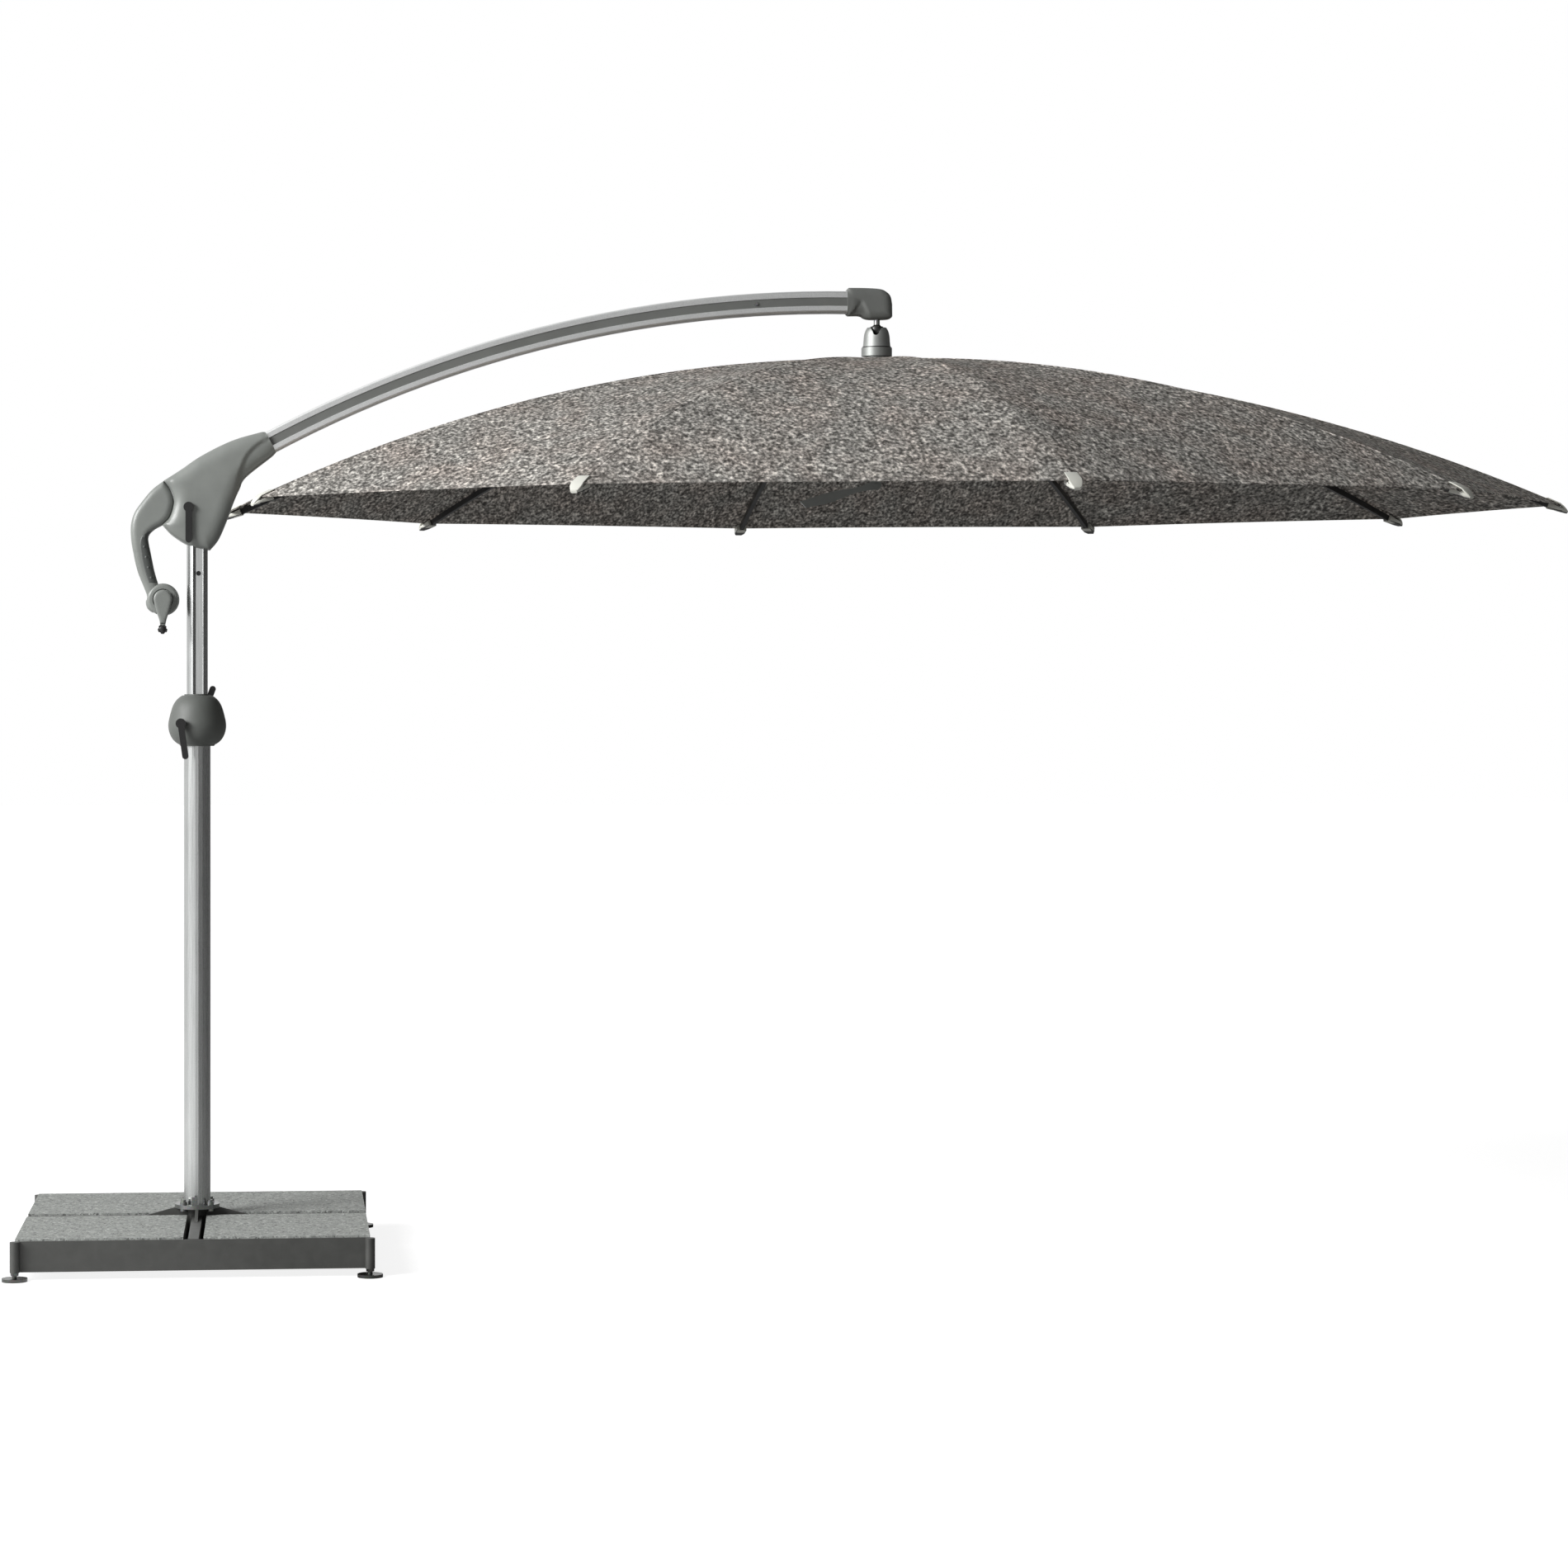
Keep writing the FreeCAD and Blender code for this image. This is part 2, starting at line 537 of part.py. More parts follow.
def head_outline():
    """Side outline of the head: rim round the arm, back, seam, mouth round the mast and throat."""
    rim = size("arm_high") / 2 + size("head_rim")
    rim_x = size("head_rim_x")
    back = [arm_point(rim_x - 6, rim + 1)]
    back += [by_arm(*p) for p in ((104, 55), (55, 63), (2, 66.5), (-39, 64))] + [seam_curve()[-1]]
    mouth = [by_mast(*p) for p in ((-89, -28), (-69, -50), (-43, -69), (-20, -81), (2, -88), (32, -92))]
    throat = [by_mast(*p) for p in ((32, -92), (55, -63), (78, -10), (93, 32))]
    throat += [by_arm(108, -76.5), by_arm(125, -55), arm_point(rim_x - 10, -rim - 1)]
    return [back, list(reversed(seam_curve())), mouth, throat, arm_point(rim_x, -rim + 3),
            arm_point(rim_x, rim - 3)]


def head_shells():
    """Two moulded shells split on the arm's plane, hollow, with holes for the mast and the arm."""
    half, wall = size("head_half_wide"), size("shell_wall")
    outer, inner = upright_wire(head_outline()), upright_wire(inset(head_outline(), wall))
    mast_hole = Part.makeCylinder(size("core_outer_dia") / 2 + size("fit_play"), 90,
                                  Vector(0, 0, size("core_bottom") - 60))
    play = 2 * size("fit_play")
    arm_hole = arc_bar(f"arm_high + {play}", f"arm_wide + {play}", "arm_start_x", "head_rim_x + 60")
    doc.recompute()
    for side, name in ((-1, "head_shell_front"), (1, "head_shell_back")):
        shell = rounded(prism(outer, 0, side * half), side * half, size("head_round"), size("arm_high") + 4)
        shell = shell.cut(prism(inner, 0, side * (half - wall)))
        shell = shell.cut(mast_hole).cut(arm_hole.Shape)
        feature(shell.removeSplitter(), name)
    drop(arm_hole)


def drop(item):
    """Delete a helper object with what it was made from."""
    below = list(item.OutList)
    doc.removeObject(item.Name)
    for child in below:
        if child.Name != sheet.Name and not child.InList:
            drop(child)


def head_core():
    """Cast core: a sleeve that swivels on the mast top, and a curved spigot inside the arm."""
    sleeve = tube("core_outer_dia", "core_inner_dia", "core_top - core_bottom", 0, 0, "core_bottom")
    cap = rod("core_outer_dia", "core_cap_thick - slide_play", 0, 0, "upper_top + washer_thick + slide_play")
    spigot = arc_bar("arm_high - 2 * arm_cap_wall - fit_play", "arm_wide - 2 * arm_side_wall - fit_play",
                     "2", "arm_start_x + spigot_long")
    base = size("core_top")
    half = (size("arm_high") - 2 * size("arm_cap_wall") - size("fit_play")) / 2
    low, high = arm_point(size("arm_start_x") - 8, 4 - half), arm_point(12, half - 8)
    foot = size("core_outer_dia") / 2 - 3
    web = slab("head_core_web", [(-foot, base - 4), (foot, base - 4), low, high],
               "arm_wide - 2 * arm_side_wall - 8")
    keep(fuse(sleeve, cap, spigot, web), "head_core")


def head_lever():
    clamp_lever("head_lever", "head_lever_x", "-head_half_wide - fit_play", "head_lever_z", 0,
                "head_lever_long", "clamp_boss_high")


def crank_outline():
    """Side outline of the crank arm, from the seam down to the winch case."""
    seam = [(x - size("fit_play"), z) for x, z in seam_curve()]
    x, z = size("crank_x"), size("crank_z")
    r = size("crank_case_dia") / 2
    outer = [by_mast(*p) for p in ((-115, 63), (-141, 32), (-160, 4), (-169, -27), (-169, -61),
                                   (-164, -95), (-152, -148))]
    inner = [by_mast(*p) for p in ((-109, -148), (-118.5, -102), (-124, -75), (-125, -60), (-120, -49),
                                   (-107, -37.5))]
    return [[seam[-1], *outer, (x - r * 0.985, z + r * 0.2)], [(x - r * 0.2, z + r * 0.6), *inner, seam[0]],
            seam]


def crank_arm():
    """Hollow curved arm that ends in the round winch case, with a recessed panel in front."""
    half, wall = size("crank_half_wide"), size("crank_wall")
    x, z, r = size("crank_x"), size("crank_z"), size("crank_case_dia") / 2
    outline = crank_outline()

    def disc(radius, reach):
        return Part.makeCylinder(radius, 2 * reach, Vector(x, -reach, z), Y_AXIS)

    limb, case = prism(upright_wire(outline), -half, half), disc(r, half)
    for face in (-half, half):
        limb = rounded(limb, face, size("crank_round"), 2 * r)
        case = rounded(case, face, size("crank_round"))
    outer = limb.fuse(case)
    hollow = prism(upright_wire(inset(outline, wall)), -half + wall, half - wall)
    hollow = hollow.fuse(disc(r - wall, half - wall))
    shaft_way = disc(size("shaft_dia") / 2 + size("pin_play"), half + 1)
    deep, play, foot = size("panel_thick"), size("fit_play"), z + r + size("panel_above")
    aside = Vector(size("panel_shift"), 0, 0)

    def panel_space(spare, y_from):
        strip = prism(upright_wire(inset(outline, size("panel_margin") + spare)), y_from, deep - half)
        band = Part.makeBox(8 * r, 4 * half, size("panel_long") - 2 * spare,
                            Vector(x - 4 * r, -3 * half, foot + spare))
        return strip.common(strip.translated(aside)).common(band)

    recess = panel_space(0, -half - 1)
    feature(outer.cut(hollow).cut(shaft_way).cut(recess), "crank_arm")

    plate = panel_space(play, -half)
    rows = int(size("rivet_count"))
    pitch = size("panel_long") / rows
    for k in range(rows):
        level = foot + pitch * (k + 0.5)
        slice_box = Part.makeBox(8 * r, 4 * half, play, Vector(x - 4 * r, -3 * half, level))
        across = plate.common(slice_box).BoundBox
        middle = (across.XMin + across.XMax) / 2
        rivet = Part.makeCylinder(size("rivet_dia") / 2, deep, Vector(middle, -half - 1, level), Y_AXIS)
        plate = plate.fuse(rivet)
    feature(plate.removeSplitter(), "crank_arm_panel")


def winch():
    """Drum and shaft in the case; the handle, and the knob that spins on its pin."""
    x, z = "crank_x", "crank_z"
    shaft = cross_rod("shaft_dia", "2 * crank_half_wide + handle_play", x, "handle_y", z)
    drum = cross_rod("drum_dia", "drum_wide", x, "-drum_wide / 2", z)
    cheeks = [cross_rod("drum_dia + 18", 3, x, y, z) for y in ("-drum_wide / 2 - 3", "drum_wide / 2")]
    keep(fuse(shaft, drum, *cheeks), "winch_drum")

    front = "handle_y - handle_thick"
    hub = cross_rod("handle_hub_dia", "handle_thick", x, front, z)
    end = cross_rod("handle_neck", "handle_thick", x, front, f"{z} - handle_long")
    cx, cz, r = size("crank_x"), size("crank_z"), size("handle_hub_dia") / 2
    neck, low = size("handle_neck") / 2, size("crank_z") - size("handle_long")
    waist = [(r * 0.93, cz - r * 0.36), (r * 0.62, cz - r * 1.45), (neck * 1.3, (cz + 3 * low) / 4),
             (neck, low)]
    blade = slab("handle_blade", [[(cx + u, v) for u, v in waist],
                                  [(cx - u, v) for u, v in reversed(waist)]], "handle_thick")
    put(blade, 0, "handle_y - handle_thick / 2", 0)
    pin = cross_rod("axle_dia", "knob_long", x, f"{front} - knob_long", f"{z} - handle_long")
    keep(fuse(hub, blade, end, pin), "crank_handle")

    grip = cross_rod("knob_dia", "knob_long - fit_play - 2", x, f"{front} - knob_long", f"{z} - handle_long")
    bore = cross_rod("axle_dia + 2 * pin_play", "knob_long + 2", x, f"{front} - knob_long - 1",
                     f"{z} - handle_long")
    dips = []
    for angle in polar(int(size("knob_lobes")), 90.0):
        reach = "(knob_dia + lobe_dip_dia / 2) / 2"
        dips.append(cross_rod("lobe_dip_dia", "knob_long + 2", f"{x} + {reach} * cos({angle} deg)",
                              f"{front} - knob_long - 1", f"{z} - handle_long + {reach} * sin({angle} deg)"))
    keep(cut(grip, bore, *dips), "crank_knob")


def arm():
    """Curved box-section tube with a dark inlay in the groove of each side, and its screws."""
    outer = arc_bar("arm_high", "arm_wide", "arm_start_x", "arm_end_x")
    inner = arc_bar("arm_high - 2 * arm_cap_wall", "arm_wide - 2 * arm_side_wall", "arm_start_x - 10",
                    "arm_end_x + 10")
    slots, inlays, screws = [], [], []
    floor = "arm_wide / 2 - slot_deep"
    for side in (-1, 1):
        slots.append(arc_bar("slot_high", "slot_deep", "arm_start_x - 5", "arm_end_x + 5",
                             f"{side} * (arm_wide / 2 - slot_deep / 2)"))
        inlays.append(arc_bar("slot_high - fit_play", "inlay_thick", "arm_start_x", "arm_end_x",
                              f"{side} * ({floor} + inlay_thick / 2)"))
        start = f"{floor} + inlay_thick" if side > 0 else f"-({floor}) - inlay_thick - screw_head_high"
        level = arm_point(size("arm_screw_x"))[1]
        screws.append(cross_rod("screw_dia", "screw_head_high", "arm_screw_x", start, level))
    tube_shape = cut(outer, inner, *slots)
    doc.recompute()
    rounding = doc.addObject("Part::Fillet", "ArmRounding")
    rounding.Base = tube_shape
    half = size("arm_wide") / 2
    rounding.Edges = [
        (index, size("arm_round"), size("arm_round"))
        for index, edge in enumerate(tube_shape.Shape.Edges, start=1)
        if edge.Length > 1000 and abs(abs(edge.CenterOfMass.y) - half) < 0.01
        and abs(abs(edge.Curve.Radius - size("arm_radius")) - size("arm_high") / 2) < 0.01
    ]
    keep(rounding, "arm_tube")
    keep(together(*inlays), "arm_inlays")
    keep(together(*screws), "arm_screws")


def arm_end():
    """Cast cap over the arm's end with the cord pulley inside it, and the ball stud below."""
    half, wall = size("cap_half_wide"), size("cap_wall")
    low, top, ball_x = size("cap_bottom"), size("cap_top"), size("ball_x")
    outline = [
        (ball_x - 81, top - 8), (ball_x - 76, top),
        [(ball_x + 4, top - 2), (ball_x + 21, top - 8), (ball_x + 34, top - 21), (ball_x + 39, top - 44)],
        (ball_x + 39, low + 8), (ball_x + 34, low + 4), (ball_x + 14, low), (ball_x - 27, low),
        (ball_x - 44, low + 9), (ball_x - 76, low + 9), (ball_x - 80, low + 13),
    ]
    shell = prism(upright_wire(outline), -half, half)
    for face in (-half, half):
        shell = rounded(shell, face, size("cap_round"))
    shell = shell.cut(prism(upright_wire(inset(outline, wall)), -half + wall, half - wall))
    play = 2 * size("fit_play")
    arm_hole = arc_bar(f"arm_high + {play}", f"arm_wide + {play}", "ball_x - 100", "arm_end_x + fit_play")
    doc.recompute()
    shell = shell.cut(arm_hole.Shape)
    drop(arm_hole)
    axle = Part.makeCylinder(size("axle_dia") / 2, 2 * half - 4,
                             Vector(size("pulley_x"), -half + 2, size("pulley_z")), Y_AXIS)
    stud_hole = Part.makeCylinder(size("stud_dia") / 2, 3 * wall, Vector(ball_x, 0, low - wall))
    feature(shell.fuse(axle).cut(stud_hole), "arm_end_cap")

    disc = cross_rod("pulley_dia", "pulley_wide", "pulley_x", "-pulley_wide / 2", "pulley_z")
    ring = doc.addObject("Part::Torus", "Groove")
    bind(ring, "Radius1", "pulley_dia / 2")
    bind(ring, "Radius2", "cord_way_dia / 2")
    put(ring, "pulley_x", 0, "pulley_z", X_AXIS, 90)
    bore = cross_rod("axle_dia + 2 * pin_play", "pulley_wide + 2", "pulley_x", "-pulley_wide / 2 - 1",
                     "pulley_z")
    keep(cut(disc, ring, bore), "end_pulley")

    stud = rod("stud_dia", "cap_bottom + cap_wall + 3 - ball_z", "ball_x", 0, "ball_z")
    flange = rod("stud_dia + 8", 3, "ball_x", 0, "cap_bottom + cap_wall")
    cord_way = rod("cord_way_dia", "cap_bottom - ball_z + 40", "ball_x", 0, "ball_z - 20")
    keep(cut(fuse(stud, flange, ball("ball_dia", "ball_x", 0, "ball_z")), cord_way), "ball_stud")


# --- canopy: everything below hangs from the ball ---------------------------------------------------

def canopy_frame(turn=0.0):
    """Placement of a canopy piece modelled about the ball: lean of the open canopy, then its heading."""
    heading = math.radians(size("canopy_lean_heading"))
    lean_axis = Vector(math.cos(heading), math.sin(heading), 0)
    lean = FreeCAD.Rotation(lean_axis, size("canopy_lean"))
    spin = FreeCAD.Rotation(Z_AXIS, size("canopy_heading") + turn)
    return FreeCAD.Placement(Vector(size("ball_x"), 0, size("ball_z")), lean * spin)


def hang(item, name, turn=0.0):
    """Finish a sub-part that was modelled about the ball centre."""
    item.Placement = canopy_frame(turn)
    return keep(item, name)


def hub():
    """Ball liner, cup with its notch, and the crown below the seam that carries the ribs."""
    opening = box("liner_dia + 2", "liner_dia + 2", "liner_dia", 0, 0, "liner_rim")
    cord_hole = rod("cord_way_dia + 2", "liner_dia", 0, 0, "-liner_dia")
    hang(cut(ball("liner_dia"), ball("socket_dia"), opening, cord_hole), "socket_liner")

    top, low = size("cup_top"), size("cup_bottom")
    r_top, r_low = size("cup_top_dia") / 2, size("cup_foot_dia") / 2
    high = top - low
    cone = turned("cup_cone", [(0, low), (r_low, low), [(r_low, low), (r_low * 0.95, low + high * 0.3),
                               (r_low * 0.82, top - high * 0.16), (r_top, top)], (0, top)])
    slot, flare, foot = size("stud_dia") / 2, size("stud_dia"), top - size("notch_deep")
    vee = slab("notch_vee", [(-slot, foot), (slot, foot), (flare, top + 1), (-flare, top + 1)],
               "cup_foot_dia")
    put(vee, 0, "-cup_foot_dia / 2", 0)
    notch = fuse(cross_rod("stud_dia", "cup_foot_dia", 0, "-cup_foot_dia", foot), vee)
    cord_way = rod("cord_way_dia + 2", "2 * cup_foot_dia", 0, 0, "-cup_foot_dia")
    hang(cut(cone, ball("liner_dia + 2 * socket_play"), cord_way, notch), "ball_cup")

    ring_top = "cup_bottom - hub_seam"
    ring = rod("hub_ring_dia", "hub_ring_high", 0, 0, f"{ring_top} - hub_ring_high")
    neck = rod("neck_dia", f"{ring_top} - rib_hinge_down", 0, 0, "rib_hinge_down")
    disc = rod("crown_dia", "crown_high", 0, 0, "rib_hinge_down - crown_high / 2")
    slots, pins = [], []
    for angle in polar(int(size("rib_count"))):
        slot = box("crown_dia", "rib_wide + 2 * fork_play", "crown_high + 2", 0, 0, 0)
        slots.append(swing(slot, angle, "rib_hinge_reach - rib_high / 2 - 2 + crown_dia / 2",
                           "rib_hinge_down - crown_high / 2 - 1"))
        pin = cross_rod("rib_pin_dia", "rib_wide + 2 * fork_play + 8", 0,
                        "-(rib_wide / 2 + fork_play + 4)", 0)
        pins.append(swing(pin, angle, "rib_hinge_reach", "rib_hinge_down"))
    bore = rod("cord_way_dia + 2", "2 * crown_dia", 0, 0, "-2 * crown_dia")
    body = cut(fuse(ring, neck, disc), bore, *slots)
    hang(fuse(body, *pins), "crown")


def swing(item, angle, reach, z):
    """Carry an item modelled about the origin out along +X by reach, then round the hub by angle."""
    carrier = doc.addObject("Part::Compound", "Carried")
    carrier.Links = [item]
    turn = FreeCAD.Rotation(Z_AXIS, angle)
    return put(carrier, f"({reach}) * cos({angle} deg)", f"({reach}) * sin({angle} deg)", z, turn.Axis,
               math.degrees(turn.Angle))


def rib_slope(s):
    """Downward slope, in degrees, at a distance s along the rib from its hinge."""
    return size("rib_start_slope") + math.degrees(s / size("rib_bend"))


def rib_point(s, across=0.0):
    """Point (reach, z) about the ball at s along the rib, moved up square to it by across."""
    bend, first, slope = size("rib_bend"), math.radians(size("rib_start_slope")), math.radians(rib_slope(s))
    return (size("rib_hinge_reach") + bend * (math.sin(slope) - math.sin(first)) + across * math.sin(slope),
            size("rib_hinge_down") - bend * (math.cos(first) - math.cos(slope)) + across * math.cos(slope))


def rib_curve(s_from, s_to, across=0.0):
    """Circular arc edge along the rib, in the XZ plane."""
    ends = [Vector(x, 0, z) for x, z in (rib_point(s, across) for s in (s_from, (s_from + s_to) / 2, s_to))]
    return Part.Arc(*ends).toShape()


def rib_bar(s_from, s_to, low, high, wide):
    """Curved bar between two distances along the rib, from low to high across it."""
    below, above = rib_curve(s_from, s_to, low), rib_curve(s_from, s_to, high)
    face = Part.Face(Part.Wire(Part.sortEdges([
        below, above,
        Part.LineSegment(below.Vertexes[0].Point, above.Vertexes[0].Point).toShape(),
        Part.LineSegment(below.Vertexes[-1].Point, above.Vertexes[-1].Point).toShape(),
    ])[0]))
    return face.translated(Vector(0, -wide / 2, 0)).extrude(Vector(0, wide, 0))


def cross_cylinder(dia, wide, x, z):
    return Part.makeCylinder(dia / 2, wide, Vector(x, -wide / 2, z), Y_AXIS)


def rib_shape():
    """Rib with its hinge eye, the two ears and pin for the strut, and the cap at its tip."""
    high, wide, pin, play = (size(name) for name in ("rib_high", "rib_wide", "rib_pin_dia", "pin_play"))
    length = size("rib_long")
    x0, z0 = rib_point(0)
    start = length - size("tip_long")
    bar = rib_bar(0, start, -high / 2, high / 2, wide)
    bar = bar.fuse(cross_cylinder(high, wide, x0, z0)).cut(cross_cylinder(pin + 2 * play, wide + 2, x0, z0))
    at, drop_down = size("strut_at"), size("strut_drop")
    inner = size("strut_wide") / 2 + size("fork_play")
    ear_long, wall = size("strut_high") + 10, size("bracket_wall")
    px, pz = rib_point(at, -drop_down)
    ears = rib_bar(at - ear_long / 2, at + ear_long / 2, -drop_down - size("strut_high") / 2, 0,
                   2 * (inner + wall))
    ears = ears.cut(rib_bar(at - ear_long, at + ear_long, -2 * drop_down, -high / 2, 2 * inner))
    cross_pin = cross_cylinder(pin, 2 * (inner + wall), px, pz)
    bar = bar.fuse(ears).fuse(cross_pin).removeSplitter()
    half_tip, thin, nose = size("tip_wide") / 2, size("tip_high"), size("tip_nose")
    a, b, c, d = (Vector(x, -half_tip, z) for x, z in (
        rib_point(start, -high / 2 - 1), rib_point(length, 2 - thin / 2), rib_point(length, 2 + thin / 2),
        rib_point(start, high / 2 + 1)))
    wedge = Part.Face(Part.makePolygon([a, b, c, d, a])).extrude(Vector(0, 2 * half_tip, 0))
    corners = [(a.x, -half_tip), (b.x - nose, -half_tip), (c.x, -half_tip / 2), (c.x, half_tip / 2),
               (b.x - nose, half_tip), (a.x, half_tip)]
    corners = [Vector(min(a.x, d.x) if x == a.x else max(b.x, c.x) if x == c.x else x, y, a.z - length)
               for x, y in corners]
    plan = Part.Face(Part.makePolygon([*corners, corners[0]])).extrude(Vector(0, 0, 2 * length))
    return Part.makeCompound([bar, wedge.common(plan)])


def strut_ends():
    """Rib pivot and runner end of a strut, as (reach, z) about the ball."""
    return rib_point(size("strut_at"), -size("strut_drop")), (size("runner_reach"), size("runner_down"))


def plank(near, far, near_half, far_half, wide):
    """Flat bar across Y between two points (x, z), which may widen from one end to the other."""
    long = math.hypot(far[0] - near[0], far[1] - near[1])
    along = Vector((far[0] - near[0]) / long, 0, (far[1] - near[1]) / long)
    square = Vector(-along.z, 0, along.x)
    start, end = Vector(near[0], -wide / 2, near[1]), Vector(far[0], -wide / 2, far[1])
    corners = [start - square * near_half, end - square * far_half, end + square * far_half,
               start + square * near_half]
    return Part.Face(Part.makePolygon([*corners, corners[0]])).extrude(Vector(0, wide, 0))


def strut_shape():
    """Straight flat strut with an eye on the rib's pin and a plain rounded end in the runner's slot."""
    outer, inner = strut_ends()
    high, wide = size("strut_high"), size("strut_wide")
    bar = plank(inner, outer, high / 2, high / 2, wide)
    bar = bar.fuse(cross_cylinder(high, wide, *inner)).fuse(cross_cylinder(high, wide, *outer))
    hole = cross_cylinder(size("rib_pin_dia") + 2 * size("pin_play"), wide + 2, *outer)
    return bar.cut(hole).removeSplitter()


def frame_of_ribs():
    """Ten ribs and their struts, each turned into its place round the hub."""
    rib, strut = rib_shape(), strut_shape()
    for count, angle in enumerate(polar(int(size("rib_count"))), start=1):
        for shape, name in ((rib, "rib"), (strut, "strut")):
            label = f"{name}_{count:02d}"
            hang(feature(shape.copy(), label), label, angle)


def runner():
    """Lower hub with an open slot for each strut, a lug under it and the tilting grip on the lug."""
    disc = rod("runner_dia", "runner_high", 0, 0, "runner_down - runner_high / 2")
    slots = []
    for angle in polar(int(size("rib_count"))):
        slot = box("runner_dia", "strut_wide + 2 * fork_play", "runner_high + 2")
        slots.append(swing(slot, angle, "runner_reach - strut_high / 2 - 2 + runner_dia / 2",
                           "runner_down - runner_high / 2 - 1"))
    half = size("grip_thick") / 2 + size("fit_play")
    wall = "(2 * bracket_wall)"
    lug = box("lug_wide", wall, "runner_down - grip_down - runner_high / 2 + lug_wide / 2 + 1",
              0, f"-{half} - {wall} / 2", "grip_down - lug_wide / 2")
    pin = cross_rod("axle_dia", f"{2 * half} + 4", 0, f"-{half} - 1", "grip_down")
    stem = swing(fuse(lug, pin), 180 + 180 / size("rib_count"), 0, 0)
    hang(fuse(cut(disc, *slots), stem), "runner")

    thick, unit, z = size("grip_thick"), size("grip_long") / 100, size("grip_down")
    eye = size("grip_eye_dia") / 2
    top = [(0, eye / unit), (9.4, 4.8), (19.8, 3.4), (30.2, 3.8), (49.5, 5.9), (69.8, 6.3), (85.4, 5.4),
           (98.8, 5.0)]
    low = [(93.4, -4.7), (83, -5.3), (63.2, -6.2), (42.5, -4.2), (26.9, -2.9), (11.8, -4.0),
           (0, -eye / unit)]
    outline = [[(u * unit, v * unit) for u, v in run] for run in (top, low)]
    blade = prism(upright_wire(outline), -thick / 2, thick / 2)
    blade = blade.rotated(Vector(), Y_AXIS, size("grip_slope")).translated(Vector(0, 0, z))
    blade = blade.fuse(cross_cylinder(2 * eye, thick, 0, z))
    blade = blade.cut(cross_cylinder(size("axle_dia") + 2 * size("pin_play"), thick + 2, 0, z))
    hang(feature(blade.removeSplitter(), "canopy_grip"), "canopy_grip", 180 + 180 / size("rib_count"))


def canopy():
    """Cloth of ten panels, each ruled between two neighbouring ribs, as one thin closed shell."""
    thick, lift = size("cloth_thick"), size("rib_high") / 2 + size("cloth_lift")
    first = size("cloth_hole_dia") / 2 - size("rib_hinge_reach")
    last = size("rib_long") - size("cloth_inset")
    count = int(size("rib_count"))

    def meridians(across):
        curve = rib_curve(first, last, across)
        return [curve.rotated(Vector(), Z_AXIS, angle) for angle in polar(count)]

    def rim_line(meridian, following, end):
        return Part.LineSegment(meridian.Vertexes[end].Point, following.Vertexes[end].Point).toShape()

    skins = [meridians(lift), meridians(lift + thick)]
    faces = []
    for k in range(count):
        following = (k + 1) % count
        for skin in skins:
            faces.append(Part.makeRuledSurface(skin[k], skin[following]))
        for end in (0, -1):
            lines = [rim_line(skin[k], skin[following], end) for skin in skins]
            faces.append(Part.makeRuledSurface(*lines))
    shell = Part.makeShell(faces)
    shell.sewShape()
    solid = Part.makeSolid(Part.Shell(shell.Faces))
    if solid.Volume < 0:
        solid.reverse()
    hang(feature(solid, "canopy"), "canopy")


SUB_PARTS = (base_frame, base_cross, granite_slabs, levelling_feet, flanges, lower_mast, collar,
             collar_levers, upper_mast, head_core, head_shells, head_lever, crank_arm, winch, arm,
             arm_end, hub, frame_of_ribs, runner, canopy)
for build in SUB_PARTS:
    build()
doc.recompute()

for item in doc.Objects:
    if "Invalid" in item.State or "Error" in item.State:
        raise RuntimeError(f"{item.Label} failed: {item.State}")
for name, item in parts.items():
    if item.Shape.isNull() or not item.Shape.isValid():
        raise RuntimeError(f"{name} has no valid shape")

os.makedirs("parts", exist_ok=True)
for name, item in parts.items():
    item.Shape.exportStep(os.path.join("parts", name + ".step"))
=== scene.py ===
import math

import bmesh
import bpy
from mathutils.geometry import delaunay_2d_cdt
from mathutils import Matrix, Vector


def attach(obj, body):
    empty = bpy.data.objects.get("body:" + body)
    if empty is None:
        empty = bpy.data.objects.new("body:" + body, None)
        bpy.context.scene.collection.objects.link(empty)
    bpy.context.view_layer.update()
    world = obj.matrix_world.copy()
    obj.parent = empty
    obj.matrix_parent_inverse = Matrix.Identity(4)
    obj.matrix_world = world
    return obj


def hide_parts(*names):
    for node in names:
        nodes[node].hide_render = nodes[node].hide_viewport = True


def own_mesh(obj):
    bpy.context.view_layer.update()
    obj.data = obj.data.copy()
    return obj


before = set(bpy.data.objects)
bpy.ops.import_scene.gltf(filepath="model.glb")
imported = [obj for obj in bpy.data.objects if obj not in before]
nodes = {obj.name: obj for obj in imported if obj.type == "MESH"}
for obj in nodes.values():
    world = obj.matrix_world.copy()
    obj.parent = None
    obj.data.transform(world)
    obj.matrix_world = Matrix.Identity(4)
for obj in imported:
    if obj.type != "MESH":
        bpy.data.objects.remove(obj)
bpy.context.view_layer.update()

# Canopy sizes in metres, as in the CAD model.
RIB_COUNT = 10
BALL = (1.768, 0.0, 2.393)
LEAN, LEAN_HEADING, HEADING = (math.radians(angle) for angle in (1.68, -4.85, -13.6))
RIB_HINGE_REACH, RIB_HINGE_DOWN = 0.052, -0.092
RIB_BEND = 4.450
RIB_START_SLOPE = math.radians(1.75)
RIB_LONG, RIB_HIGH = 1.760, 0.015
CLOTH_LIFT, CLOTH_THICK = 0.0052, 0.0011
CLOTH_FIRST, CLOTH_LAST = 0.004, 1.738
HEM_WIDE, HEM_PROUD = 0.022, 0.0006
SEAM_HALF, SEAM_PROUD = 0.0065, 0.0007
RIM_SCALLOP = 0.004
PANEL_SAG = 0.008
